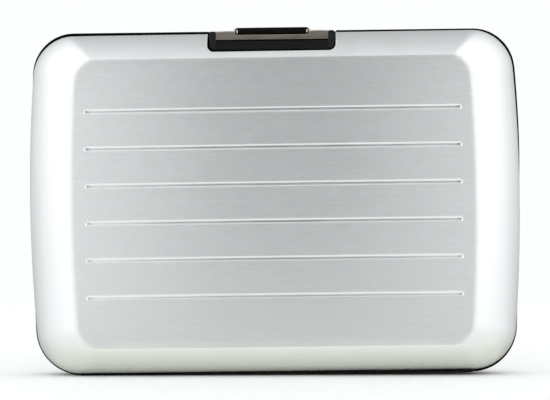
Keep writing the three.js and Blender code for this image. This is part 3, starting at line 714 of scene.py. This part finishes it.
def round_edges(piece, width, segments=3, angle=40):
    """A bevel on all edges that turn by more than an angle."""
    rounded = piece.modifiers.new("edges", "BEVEL")
    rounded.width = width * MM
    rounded.segments = segments
    rounded.limit_method = "ANGLE"
    rounded.angle_limit = math.radians(angle)


# %% [markdown]
# The front half is the rear half turned half a turn about the upright axis, exactly as the CAD has it.
# The panel, the bands, the lines and the inside are one sheet, so each face picks its own look, and a
# bevel rounds the cut edges. The cover of the real case sits a touch askew in its frame, so its sheet
# is turned by as much.

# %% Both shells
EDGE_ROUND, SHARP_EDGE = 0.16, 50
LINE_FACE = 0.02
COVER_SKEW = math.radians(0.18)
PANEL, BAND, LINE, INSIDE = range(4)


def sheet_finish():
    """The look of each face of the sheet: the outside, then the inside, then the cut edges."""
    corner_x, corner_z = points[faces][:, :, 0], points[faces][:, :, 2]
    sunk = groove_depth(corner_x, corner_z).mean(axis=1)
    on_panel = np.where(sunk > LINE_FACE, LINE, PANEL)
    outside = np.where(np.arange(len(faces)) < panel_faces, on_panel, BAND)[kept]
    cut_edges = np.full(len(sheet_faces) - 2 * len(outside), LINE)
    return np.concatenate([outside, np.full_like(outside, INSIDE), cut_edges]).astype(np.int32)


def add_shell(name, body, node_name, turn, skew):
    at = sheet_points * np.array([turn, turn, 1])
    at = at @ np.array(Matrix.Rotation(skew, 3, "Y")) + np.array([0, 0, middle])
    looks = [panel_look, band_look, line_look, inside_look]
    shell = make_piece(name, at, sheet_faces, looks, "shell_aluminium", [node_name])
    shell.data.polygons.foreach_set("material_index", sheet_finish())
    bm = bmesh.new()
    bm.from_mesh(shell.data)
    bmesh.ops.delete(bm, geom=[v for v in bm.verts if not v.link_faces], context="VERTS")
    bm.to_mesh(shell.data)
    bm.free()
    round_edges(shell, EDGE_ROUND, angle=SHARP_EDGE)
    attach(shell, body)


add_shell("rear_shell_sheet", "rear", "rear_shell", 1, 0)
add_shell("front_shell_sheet", "front", "front_shell", -1, COVER_SKEW)
print("faces of each sheet:", len(sheet_faces))

# %% [markdown]
# The black pieces are moulded plastic with a fine spark-eroded grain, which softens the gloss without
# being seen as bumps. The grain could be modelled, but at a tenth of a millimetre it belongs in the
# material, as a bump and as a small change of gloss. The pocket film is the same black, but calendered:
# a little shinier, with a faint cloudiness.

# %% Black looks
def black_moulding(name, gloss):
    look, tree, shader = new_look(name)
    fine = grain(tree, size=0.12)
    cloud = grain(tree, size=5)
    coloured(tree, shader, cloud, (0.0025, 0.0025, 0.003), (0.005, 0.005, 0.006))
    roughened(tree, shader, fine, smooth=0.4, rough=0.56)
    shader.inputs["Specular IOR Level"].default_value = gloss
    bumped(tree, shader, fine, distance=0.006, strength=0.5)
    return look


def pocket_film():
    look, tree, shader = new_look("pocket_film_satin")
    fine = grain(tree, size=0.2)
    cloud = grain(tree, size=12)
    coloured(tree, shader, cloud, (0.016, 0.016, 0.018), (0.026, 0.026, 0.029))
    roughened(tree, shader, cloud, smooth=0.36, rough=0.5)
    shader.inputs["Specular IOR Level"].default_value = 0.4
    bumped(tree, shader, fine, distance=0.008, strength=0.4)
    return look


moulding_look = black_moulding("black_moulding_grain", gloss=0.13)
rubbed_look = black_moulding("black_moulding_rubbed", gloss=0.22)
# The joint's black with almost no gloss is a painted shade: it keeps the narrow gap as dark as the shade in
# it.
joint_shade_look = black_moulding("black_joint_shade", gloss=0.02)
film_look = pocket_film()
print("looks:", moulding_look.name, rubbed_look.name, joint_shade_look.name, film_look.name)

# %% [markdown]
# The clasp is plated dark nickel with a fine grain along the plate, and the pins and the spring are
# bright drawn steel. The floor of the finger groove is a near-black, a painted shade, and its two ends
# get a brighter nickel, a painted highlight.

# %% Steel looks
def nickel(name, dark, light):
    look, tree, shader = new_look(name, metallic=1)
    lines = streaks(tree, along=5, across=0.09)
    cloud = grain(tree, size=4)
    coloured(tree, shader, cloud, dark, light)
    roughened(tree, shader, lines, smooth=0.1, rough=0.17)
    bumped(tree, shader, lines, distance=0.002, strength=0.4)
    return look


def drawn_steel():
    look, tree, shader = new_look("drawn_steel", metallic=1)
    lines = streaks(tree, along=6, across=0.06)
    coloured(tree, shader, lines, (0.5, 0.5, 0.5), (0.66, 0.66, 0.65))
    roughened(tree, shader, lines, smooth=0.2, rough=0.32)
    bumped(tree, shader, lines, distance=0.002, strength=0.4)
    return look


# Painted shade: the near-black floor of the finger groove, with a little gloss.
def groove_painted_shade():
    look, tree, shader = new_look("groove_painted_shade")
    cloud = grain(tree, size=1.5)
    coloured(tree, shader, cloud, (0.003, 0.003, 0.002), (0.007, 0.007, 0.005))
    roughened(tree, shader, cloud, smooth=0.3, rough=0.42)
    shader.inputs["Specular IOR Level"].default_value = 0.12
    return look


clasp_look = nickel("dark_nickel", (0.585, 0.535, 0.468), (0.685, 0.625, 0.545))
# The brighter nickel is a painted highlight, for the two ends of the finger groove.
groove_end_highlight_look = nickel("nickel_painted_highlight", (0.84, 0.83, 0.81), (0.92, 0.91, 0.89))
pin_look = drawn_steel()
groove_shade_look = groove_painted_shade()
print("looks:", clasp_look.name, groove_end_highlight_look.name, pin_look.name, groove_shade_look.name)

# %% [markdown]
# The moulded frames, blocks and pocket leaves already have the right shape in the CAD, so their solids
# stay and get a finish. A CAD solid has knife edges, and no real edge is that sharp: modifiers join its
# split points, dissolve the flat triangles, round the edges and smooth the shading.

# %% Modifiers for CAD solids
JOIN_DISTANCE, FLAT_ANGLE, SMOOTH_ANGLE = 0.001, 0.6, 32


def geometry_group(name):
    """A node group that takes a mesh and gives a mesh."""
    group = bpy.data.node_groups.new(name, "GeometryNodeTree")
    group.interface.new_socket("Geometry", in_out="INPUT", socket_type="NodeSocketGeometry")
    group.interface.new_socket("Geometry", in_out="OUTPUT", socket_type="NodeSocketGeometry")
    start = group.nodes.new("NodeGroupInput").outputs["Geometry"]
    end = group.nodes.new("NodeGroupOutput").inputs["Geometry"]
    return group, start, end


def joining_group():
    """Joins split points, so that a solid has one closed skin."""
    group, start, end = geometry_group("join_points")
    bare = node(group, "GeometryNodeRemoveAttribute", {"Geometry": start, "Name": "custom_normal"})
    merge_inputs = {"Geometry": bare.outputs["Geometry"], "Distance": JOIN_DISTANCE * MM}
    merged = node(group, "GeometryNodeMergeByDistance", merge_inputs)
    group.links.new(merged.outputs["Geometry"], end)
    return group


def smoothing_group(angle):
    """Smooth shading, except across edges that turn by more than an angle."""
    group, start, end = geometry_group("smooth_faces")
    smooth = node(group, "GeometryNodeSetShadeSmooth", {"Geometry": start, "Shade Smooth": True})
    bend = node(group, "GeometryNodeInputMeshEdgeAngle").outputs["Unsigned Angle"]
    soft = node(group, "FunctionNodeCompare", {"A": bend, "B": math.radians(angle)}, operation="LESS_THAN")
    edge_inputs = {"Geometry": smooth.outputs["Geometry"], "Shade Smooth": soft.outputs["Result"]}
    edges = node(group, "GeometryNodeSetShadeSmooth", edge_inputs, domain="EDGE")
    group.links.new(edges.outputs["Geometry"], end)
    return group


def keep_flat(piece):
    """Flat faces keep their own normals, and only the rounded edges turn."""
    weighted = piece.modifiers.new("flat_faces", "WEIGHTED_NORMAL")
    weighted.keep_sharp = True


join_points = joining_group()
smooth_faces = smoothing_group(SMOOTH_ANGLE)
print("node groups:", join_points.name, smooth_faces.name)

# %% [markdown]
# The frames and the clasp blocks are moulded. The pocket walls and leaves are cut from film, whose edges
# are a little sharper. Each could be finished by hand, but a loop treats them all alike.

# %% Finished solids
MOULDING_ROUND, FILM_ROUND, LEAF_COUNT = 0.12, 0.1, 6


def finish_solid(name, look, width):
    """Gives a CAD solid a look and rounded edges."""
    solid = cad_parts[name]
    solid.data.materials.clear()
    solid.data.materials.append(look)
    solid.modifiers.new("join", "NODES").node_group = join_points
    flat = solid.modifiers.new("flat", "DECIMATE")
    flat.decimate_type = "DISSOLVE"
    flat.angle_limit = math.radians(FLAT_ANGLE)
    round_edges(solid, width, segments=2)
    solid.modifiers.new("smooth", "NODES").node_group = smooth_faces
    keep_flat(solid)


moulded_nodes = ["rear_frame", "front_frame", "latch_bracket", "catch_block"]
leaf_nodes = [f"pocket_leaf_{k}" for k in range(1, LEAF_COUNT + 1)]
film_nodes = ["rear_pocket_wall", "front_pocket_wall", *leaf_nodes]
for name in moulded_nodes:
    finish_solid(name, moulding_look, MOULDING_ROUND)
for name in film_nodes:
    finish_solid(name, film_look, FILM_ROUND)
print("finished solids:", len(moulded_nodes) + len(film_nodes))

# %% [markdown]
# Many pieces are a section drawn along a path. One helper joins matching sections into a skin and closes
# its ends, and another turns all faces outwards, whichever way the path ran.

# %% Helpers for drawn sections
def loft(sections):
    """Points and faces of a skin over matching closed sections, with its ends capped."""
    count = len(sections[0])
    end = (len(sections) - 1) * count
    faces = []
    for here in range(0, end, count):
        after = here + count
        for i in range(count):
            j = (i + 1) % count
            faces.append((here + i, here + j, after + j, after + i))
    faces.append(tuple(range(count))[::-1])
    faces.append(tuple(range(end, end + count)))
    return np.concatenate(sections), faces


def turn_outwards(piece):
    bm = bmesh.new()
    bm.from_mesh(piece.data)
    bmesh.ops.recalc_face_normals(bm, faces=bm.faces)
    bm.to_mesh(piece.data)
    bm.free()


# %% [markdown]
# The rim of the frame is a rounded bead that stands a little proud of both shells. It runs from the
# clasp mouth round each side down to the hinge rail, thinner below the hinge axis, where the other half
# swings, and it bulges a little at the upper right. A curve object with a bevel could draw it, but its
# section has to change along the way.

# %% Rim bead
RIM_PROUD, RIM_INSET, RIM_CORNER, RIM_FOOT_CORNER, RIM_BOW = 0.5, 0.2, 9.0, 9.9, 0.95
BEAD_NEAR, BEAD_FAR, BEAD_ROOT, BEAD_ROUND = 0.02, 1.6, 1.0, 0.25
RIM_BULGE, BULGE_START, BULGE_END = 0.46, -0.15, 0.8
HINGE_HEIGHT, SWING = 1.8, math.radians(27)
RIM_ROWS, RIM_COLUMNS = 60, 12
SIDES = ((1, "right"), (-1, "left"))
rim_half = half_height + RIM_PROUD
rim_edge = outline(half_width - RIM_INSET, rim_half, -rim_half, RIM_CORNER, RIM_FOOT_CORNER, RIM_BOW)


def bead_section(near, far):
    """Depths and heights above the rim outline of one section, rounded on its outer side."""
    quarter = np.linspace(0, math.pi / 2, 5)
    inwards, drop = BEAD_ROUND * (1 - np.sin(quarter)), BEAD_ROUND * (np.cos(quarter) - 1)
    round_near = np.stack([near + inwards, drop], axis=1)
    round_far = np.stack([far - inwards, drop], axis=1)
    return np.concatenate([[[near, -BEAD_ROOT]], round_near[::-1], round_far, [[far, -BEAD_ROOT]]])


def rim_path():
    """Points of the right half of the rim from the clasp mouth to the foot, with their normals."""
    heights, widths = side_rows(rim_edge, np.linspace(0, 1, RIM_ROWS)[1:-1])
    head = np.linspace(NOTCH_HALF, widths[0], RIM_COLUMNS)[:-1]
    across = np.concatenate([head, widths])
    up = np.concatenate([np.full(len(head), heights[0]), heights])
    path = np.stack([across, up], axis=1)
    along = np.gradient(path, axis=0)
    along /= np.linalg.norm(along, axis=1, keepdims=True)
    return path, np.stack([-along[:, 1], along[:, 0]], axis=1)


def add_bead(name, body, turn, side):
    sections = []
    for (x, z), (out_x, out_z) in zip(*rim_path()):
        if side > 0:
            share = (z / half_height - BULGE_START) / (BULGE_END - BULGE_START)
            x += RIM_BULGE * math.sin(math.pi * min(max(share, 0), 1))
        free = (HINGE_HEIGHT - (z + middle)) * math.tan(SWING)
        section = bead_section(max(BEAD_NEAR, free), BEAD_FAR)
        at = [(side * (x + h * out_x), turn * depth, middle + z + h * out_z) for depth, h in section]
        sections.append(np.array(at))
    bead = make_piece(name, *loft(sections), [moulding_look], "black_moulding")
    turn_outwards(bead)
    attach(bead, body)


for side, side_name in SIDES:
    add_bead(f"rear_rim_{side_name}", "rear", 1, side)
    add_bead(f"front_rim_{side_name}", "front", -1, side)
print("rim beads: 4")

# %% [markdown]
# The black clasp blocks sit in the mouth of each shell with a narrow dark joint round them. The joint
# is not open to the light, because the block has a flange behind the sheet: a U-shaped strip that
# follows the mouth, set back under the curved surface. Cutting it into the solid of the block would be
# exact but slow; a strip fits over it. The strip is black with almost no gloss, a painted shade that
# keeps the joint as dark as the shade in it.

# %% Joint strips
EAR_DROP, ARC_POINTS = 0.3, 9
EAR_TOP = rim_high.z / MM - EAR_DROP
STRIP_GAP, STRIP_WIDTH, STRIP_SET_BACK, STRIP_BACK, STRIP_LEAST = 0.02, 0.9, 2.6, 1.0, 1.0


def mouth_path():
    """The outline of the mouth from its right top, round the floor, to its left top, with normals inwards."""
    turn = np.linspace(0, math.pi / 2, ARC_POINTS)
    core_x, core_z = NOTCH_HALF - NOTCH_CORNER, notch_floor + NOTCH_CORNER
    down = [(NOTCH_HALF, z) for z in np.linspace(EAR_TOP - middle, core_z, 12)[:-1]]
    corner = [(core_x + NOTCH_CORNER * math.cos(a), core_z - NOTCH_CORNER * math.sin(a)) for a in turn]
    floor = [(x, notch_floor) for x in np.linspace(core_x, 0, 8)[1:]]
    right = np.array(down + corner + floor)
    round_corner = [(-math.cos(a), math.sin(a)) for a in turn]
    inwards = np.array([(-1, 0)] * len(down) + round_corner + [(0, 1)] * len(floor))
    flip = np.array([-1, 1])
    return np.concatenate([right, right[-2::-1] * flip]), np.concatenate([inwards, inwards[-2::-1] * flip])


def face_depth(z):
    """Depth of the outer surface at a height in the upper band."""
    return float(band_depth(np.clip((shell_top - z) / HEAD_BAND, 0, 1)))


def add_strip(name, body, turn):
    sections = []
    for (x, z), (in_x, in_z) in zip(*mouth_path()):
        front = max(face_depth(z) - STRIP_SET_BACK, STRIP_BACK + STRIP_LEAST)
        corners = ((STRIP_GAP, STRIP_BACK), (STRIP_WIDTH, STRIP_BACK),
                   (STRIP_WIDTH, front), (STRIP_GAP, front))
        at = [(x + h * in_x, turn * depth, middle + z + h * in_z) for h, depth in corners]
        sections.append(np.array(at))
    strip = make_piece(name, *loft(sections), [joint_shade_look], "black_moulding")
    strip.data.shade_flat()
    turn_outwards(strip)
    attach(strip, body)


add_strip("front_joint_strip", "front", -1)
add_strip("rear_joint_strip", "rear", 1)
print("joint strips: 2")

# %% [markdown]
# The guard ears of the blocks get rounded caps, whose lower ends run into the bar between them. An ear
# leans back, a little more below the ledge of its block than above it, so a formula gives its front. The
# solid of the block has a narrow bevel all over, and the ears are rounder, so the caps are own pieces.

# %% Ear caps
CAP_INSIDE, REAR_CAP_INSIDE, CAP_OUTSIDE, CAP_BACK = 12.5, 12.9, 13.93, 6.75
CAP_HEAD_ROUND, CAP_ROUND, CAP_FOOT_RAISE = 0.45, 0.28, 0.37
BLOCK_LEDGE, FOOT_FRONT, LEDGE_FRONT, HEAD_LEAN = 74.65, 8.62, 7.82, 0.3


def cap_front(z):
    """Depth of an ear's front: it leans back up to the ledge of the block, and a little less above it."""
    foot = notch_floor + middle
    if z < BLOCK_LEDGE:
        return FOOT_FRONT - (FOOT_FRONT - LEDGE_FRONT) * (z - foot) / (BLOCK_LEDGE - foot)
    return LEDGE_FRONT - HEAD_LEAN * (z - BLOCK_LEDGE)


def add_ear_cap(name, body, turn, side, inside):
    """A guard ear: a flat bar with a round head, and a quarter-round foot that turns into the bar."""
    foot = notch_floor + middle + CAP_FOOT_RAISE
    radius = CAP_OUTSIDE - inside
    arc = np.linspace(0, math.pi / 2, ARC_POINTS)
    head = EAR_TOP - CAP_HEAD_ROUND
    rounded = [(CAP_HEAD_ROUND * (1 - math.cos(a)), head + CAP_HEAD_ROUND * math.sin(a)) for a in arc]
    shape = [(CAP_OUTSIDE - inwards, z) for inwards, z in rounded]
    shape += [(inside + inwards, z) for inwards, z in rounded[::-1]]
    shape += [(inside, z) for z in np.linspace(head, foot, 7)[1:]]
    shape += [(inside + radius * math.sin(a), foot + radius * (1 - math.cos(a))) for a in arc[1:]]
    shape += [(CAP_OUTSIDE, z) for z in np.linspace(foot + radius, head, 5)[1:-1]]
    back = np.array([(side * x, turn * CAP_BACK, z) for x, z in shape])
    front = np.array([(side * x, turn * cap_front(z), z) for x, z in shape])
    cap = make_piece(name, *loft([back, front]), [rubbed_look], "black_moulding")
    turn_outwards(cap)
    round_edges(cap, CAP_ROUND, segments=4, angle=SHARP_EDGE)
    keep_flat(cap)
    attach(cap, body)


for side, side_name in SIDES:
    add_ear_cap(f"front_ear_{side_name}", "front", -1, side, CAP_INSIDE)
    add_ear_cap(f"rear_ear_{side_name}", "rear", 1, side, REAR_CAP_INSIDE)
print("ear caps: 4")

# %% [markdown]
# The clasp is one bent plate. Its back edge is rolled round the pin in two barrels, with the spring
# between them, and its front edge is bent down into a flange. The section is drawn with its real bends
# and drawn out along the plate; bending a flat plate with modifiers would be harder to place.

# %% Section of the clasp
PLATE_TOP, PLATE_SHEET, FLANGE_FRONT, FLANGE_FOOT, FRONT_RISE = 76.8, 0.8, -6.6, 74.95, 0.2
PIVOT_Y, PIVOT_Z, BARREL, BARREL_BORE = 6.2, 75.3, 1.5, 0.9
ROLL_END, BORE_END, ROLL_POINTS = -195, 128, 48
BEND_ROUND, BEND_INSIDE, FLANGE_CHAMFER, FLANGE_ROUND = 0.2, 0.15, 0.1, 0.12


def arc_points(y, z, radius, start, end, count):
    """Points of an arc across X, with its angles in degrees."""
    angles = np.radians(np.linspace(start, end, count))
    return [(y + radius * math.cos(a), z + radius * math.sin(a)) for a in angles]


def flange_bend():
    """The bent front edge, from the underside round the flange to the top."""
    under = PLATE_TOP - PLATE_SHEET
    inner = FLANGE_FRONT + PLATE_SHEET
    bend = arc_points(inner + BEND_INSIDE, under + FRONT_RISE - BEND_INSIDE, BEND_INSIDE, 90, 180, 4)
    foot = [(inner, FLANGE_FOOT + FLANGE_CHAMFER), (inner - FLANGE_CHAMFER, FLANGE_FOOT),
            (FLANGE_FRONT + FLANGE_ROUND, FLANGE_FOOT)]
    foot += arc_points(FLANGE_FRONT + FLANGE_ROUND, FLANGE_FOOT + FLANGE_ROUND, FLANGE_ROUND, 270, 180, 4)[1:]
    top = arc_points(FLANGE_FRONT + BEND_ROUND, PLATE_TOP + FRONT_RISE - BEND_ROUND, BEND_ROUND, 180, 90, 10)
    return bend + foot + top


def barrel_section():
    """The whole section: the flange, the plate, the rolled barrel and its bore."""
    roll = arc_points(PIVOT_Y, PIVOT_Z, BARREL, 90, ROLL_END, ROLL_POINTS)
    bore = arc_points(PIVOT_Y, PIVOT_Z, BARREL_BORE, ROLL_END, BORE_END, ROLL_POINTS)
    return flange_bend() + roll + bore


print("points of the section:", len(barrel_section()))

# %% [markdown]
# Booleans cut the pocket of the spring and the finger groove from the plate. The cutter for the groove is
# a capsule: a round bar with round ends. The floor of the groove gets a near-black, a painted shade, and
# its two ends the bright nickel, a painted highlight.

# %% Helpers for cutting
GROOVE_RADIUS, GROOVE_LENGTH, GROOVE_Y, GROOVE_Z = 0.78, 16.5, -6.9, 76.82
GROOVE_SHADE_HALF, GROOVE_SLACK = 7.72, 0.02


def drawn_along(section, places):
    """A section across X, drawn out along X."""
    return loft([np.array([(x, y, z) for y, z in section]) for x in places])


def cut_away(piece, points, faces):
    """Cuts a solid, given by points in millimetres and faces, out of a piece."""
    tool_mesh = bpy.data.meshes.new("cutter")
    tool_mesh.from_pydata([tuple(p) for p in points * MM], [], faces)
    tool = bpy.data.objects.new("cutter", tool_mesh)
    bpy.context.scene.collection.objects.link(tool)
    turn_outwards(piece)
    turn_outwards(tool)
    cut = piece.modifiers.new("cut", "BOOLEAN")
    cut.operation = "DIFFERENCE"
    cut.object = tool
    cut.solver = "EXACT"
    piece.data = bpy.data.meshes.new_from_object(piece.evaluated_get(bpy.context.evaluated_depsgraph_get()))
    piece.modifiers.clear()
    bpy.data.objects.remove(tool)


def circle(x, y, z, radius, sides):
    """Points of a circle that faces along X."""
    turn = np.radians(np.linspace(0, 360, sides, endpoint=False))
    return np.stack([np.full(sides, x), y + radius * np.cos(turn), z + radius * np.sin(turn)], axis=1)


def capsule(radius, length, y, z, sides=48, steps=12):
    """A round bar along X with round ends."""
    turn = np.linspace(-math.pi / 2, math.pi / 2, 2 * steps + 1)[1:-1]
    straight = length / 2 - radius
    sections = []
    for a in turn:
        x = radius * math.sin(a) + math.copysign(straight, a) if abs(a) > TINY else 0.0
        sections.append(circle(x, y, z, radius * math.cos(a), sides))
    return loft(sections)


def cut_groove(piece):
    """Cuts the finger groove; its floor gets the second look, a painted shade, and its ends the third, a
    painted highlight.
    """
    cut_away(piece, *capsule(GROOVE_RADIUS, GROOVE_LENGTH, GROOVE_Y, GROOVE_Z))
    straight = GROOVE_LENGTH / 2 - GROOVE_RADIUS
    at = np.array([vertex.co for vertex in piece.data.vertices]) / MM
    core = np.stack([np.clip(at[:, 0], -straight, straight), np.full(len(at), GROOVE_Y),
                     np.full(len(at), GROOVE_Z)], axis=1)
    inside = np.linalg.norm(at - core, axis=1) < GROOVE_RADIUS + GROOVE_SLACK
    # The floor gets the painted shade and the two ends the painted highlight.
    for face in piece.data.polygons:
        if inside[list(face.vertices)].all():
            face.material_index = 1 if abs(face.center.x) < GROOVE_SHADE_HALF * MM else 2
        else:
            face.material_index = 0


# %% [markdown]
# The section is drawn out to the full width of the plate, then cut in the middle for the spring and along
# the bend for the finger. Its edges are barely rounded, as those of pressed sheet metal are.

# %% Clasp plate
PLATE_HALF, PLATE_ROUND = 12.7, 0.07
POCKET_HALF, POCKET_BACK = 4.5, 4.4


def add_clasp():
    plate = make_piece("clasp_plate", *drawn_along(barrel_section(), (-PLATE_HALF, PLATE_HALF)),
                       [clasp_look, groove_shade_look, groove_end_highlight_look], "clasp_steel", ["latch_plate"])
    low, high, far = PIVOT_Z - 2 * BARREL, PLATE_TOP + BARREL, PIVOT_Y + 2 * BARREL
    pocket = [(POCKET_BACK, low), (far, low), (far, high), (POCKET_BACK, high)]
    cut_away(plate, *drawn_along(pocket, (-POCKET_HALF, POCKET_HALF)))
    cut_groove(plate)
    round_edges(plate, PLATE_ROUND, segments=2, angle=SHARP_EDGE)
    plate.modifiers.new("smooth", "NODES").node_group = smooth_faces
    keep_flat(plate)
    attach(plate, "latch")
    return plate


clasp_plate = add_clasp()
print("clasp plate faces:", len(clasp_plate.data.polygons))

# %% [markdown]
# The finger lip is a round-ended bar on the bend, hollowed along its front so that a fingernail catches.
# The groove is the same capsule that was cut from the plate, so both cuts meet in one clean hollow.

# %% Finger lip
LIP_RADIUS, LIP_LENGTH, LIP_Y, LIP_Z = 0.86, 17.1, -6.4, 76.86


def add_lip():
    lip = make_piece("finger_lip", *capsule(LIP_RADIUS, LIP_LENGTH, LIP_Y, LIP_Z),
                     [clasp_look, groove_shade_look, groove_end_highlight_look], "clasp_steel")
    cut_groove(lip)
    lip.data.shade_smooth()
    lip.modifiers.new("smooth", "NODES").node_group = smooth_faces
    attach(lip, "latch")
    return lip


finger_lip = add_lip()
print("finger lip faces:", len(finger_lip.data.polygons))

# %% [markdown]
# The two pins are short lengths of drawn wire with chamfered ends. A cylinder with a bevel would do as
# well, but four circles joined into a skin give the chamfer its exact size.

# %% Pins
PIN_RADIUS, PIN_CHAMFER, PIN_SIDES = 0.7, 0.2, 40
HINGE_PIN_HALF, LATCH_PIN_HALF = 39.55, 13.7


def add_pin(name, half, y, z, node_name):
    sections = []
    for x, radius in ((-half, PIN_RADIUS - PIN_CHAMFER), (-half + PIN_CHAMFER, PIN_RADIUS),
                      (half - PIN_CHAMFER, PIN_RADIUS), (half, PIN_RADIUS - PIN_CHAMFER)):
        sections.append(circle(x, y, z, radius, PIN_SIDES))
    pin = make_piece(name, *loft(sections), [pin_look], "pin_steel", [node_name])
    turn_outwards(pin)
    pin.modifiers.new("smooth", "NODES").node_group = smooth_faces
    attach(pin, "rear")


add_pin("hinge_rod", HINGE_PIN_HALF, 0, HINGE_HEIGHT, "hinge_pin")
add_pin("latch_rod", LATCH_PIN_HALF, PIVOT_Y, PIVOT_Z, "latch_pin")
print("pins: 2")

# %% [markdown]
# The torsion spring is wound from thinner wire: one leg presses on the block, six curls lie round the
# pin, and the other leg presses on the plate. Its curls twist as the clasp lifts.

# %% Torsion spring
SPRING_WIRE, SPRING_RADIUS, SPRING_TURNS, SPRING_PITCH, SPRING_LEG = 0.5, 1.15, 6, 1.0, 2.4
SPRING_LIFT, SPRING_GAP, SPRING_STEPS = math.radians(25), 0.3, 28
LEG_DROP, LEG_BEND = 0.35, 0.12


def spring_path():
    """Points along the middle of the wire, and where its curls start along X."""
    turns = SPRING_TURNS + 0.25 - SPRING_LIFT / (2 * math.pi)
    start = -turns * SPRING_PITCH / 2
    leg_foot = PIVOT_Z - BARREL - LEG_DROP + SPRING_GAP + SPRING_WIRE / 2
    path = [(start, PIVOT_Y + SPRING_RADIUS, z) for z in np.linspace(leg_foot, PIVOT_Z, 6)[:-1]]
    for share in np.linspace(0, 1, int(turns * SPRING_STEPS)):
        a = share * turns * 2 * math.pi
        path.append((start + share * turns * SPRING_PITCH, PIVOT_Y + SPRING_RADIUS * math.cos(a),
                     PIVOT_Z + SPRING_RADIUS * math.sin(a)))
    x, y, z = path[-1]
    on_plate = PLATE_TOP + SPRING_GAP + SPRING_WIRE / 2
    bend = y - (on_plate - z) / math.tan(SPRING_LIFT)
    path += [(x, y + (bend - y) * s, z + (on_plate - z) * s) for s in (0.35, 0.7, 0.93)]
    path += [(x, bend - LEG_BEND - SPRING_LEG * s, on_plate) for s in (0, 0.3, 0.6, 0.95)]
    return np.array(path), start


def wire(path, radius, sides=12):
    """A round wire along a path, with its section carried along without twist."""
    along = np.gradient(path, axis=0)
    along /= np.linalg.norm(along, axis=1, keepdims=True)
    side = np.array((1.0, 0, 0))
    sections = []
    for point, ahead in zip(path, along):
        side = side - ahead * side.dot(ahead)
        side /= np.linalg.norm(side)
        up = np.cross(ahead, side)
        ring = np.radians(np.linspace(0, 360, sides, endpoint=False))
        sections.append(point + radius * (np.cos(ring)[:, None] * side + np.sin(ring)[:, None] * up))
    return loft(sections)


path, spring_start = spring_path()
spring = make_piece("torsion_spring", *wire(path, SPRING_WIRE / 2), [pin_look], "pin_steel", ["latch_spring"])
turn_outwards(spring)
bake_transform(spring)
print("spring points:", len(path))

# %% [markdown]
# Seven folded strips of film close each side of the accordion. A fold is drawn as a rounded V that is
# deeper towards the top, where the fan opens wider. A strip joins two leaves, and the last strip joins a
# leaf to the cover.

# %% Folded side strips
POCKET_COUNT, POCKET_PITCH, LEAF_HALF, LEAF_SHEET = 7, 2.1, 47.5, 0.5
ACCORDION_HALF = POCKET_PITCH * POCKET_COUNT / 2
FOLD_FOOT, FOLD_TOP, FOLD_DEPTH, FOLD_SHEET, FOLD_ROUND = 11.5, 51.0, 4.2, 0.22, 0.8
FOLD_GAP, FOLD_INNER = 0.05, 1.6


def fold_section(z, y, side):
    """One closed section of a folded strip, at a height."""
    depth = FOLD_DEPTH * (z - HINGE_HEIGHT) / (FOLD_TOP - HINGE_HEIGHT)
    half = (POCKET_PITCH - LEAF_SHEET) / 2 - FOLD_GAP
    turn = np.linspace(0, math.pi, 17)
    skins = []
    for wall in (0, FOLD_SHEET):
        reach = (depth - wall * FOLD_INNER) * np.sin(turn) ** FOLD_ROUND
        skins.append(np.stack([side * (LEAF_HALF - reach), y + (half - wall) * np.cos(turn)], axis=1))
    closed = np.concatenate([skins[0], skins[1][::-1]])
    return np.column_stack([closed, np.full(len(closed), z)])


def add_fold(index, side, side_name):
    y = ACCORDION_HALF - (index - 0.5) * POCKET_PITCH
    sections = [fold_section(z, y, side) for z in np.linspace(FOLD_FOOT, FOLD_TOP, 9)]
    fold = make_piece(f"fold_{side_name}_{index}", *loft(sections), [film_look], "pocket_film",
                      [f"pleat_{side_name}_{index}"])
    turn_outwards(fold)
    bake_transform(fold)


for index in range(1, POCKET_COUNT + 1):
    for side, side_name in SIDES:
        add_fold(index, side, side_name)
print("folded strips:", 2 * POCKET_COUNT)
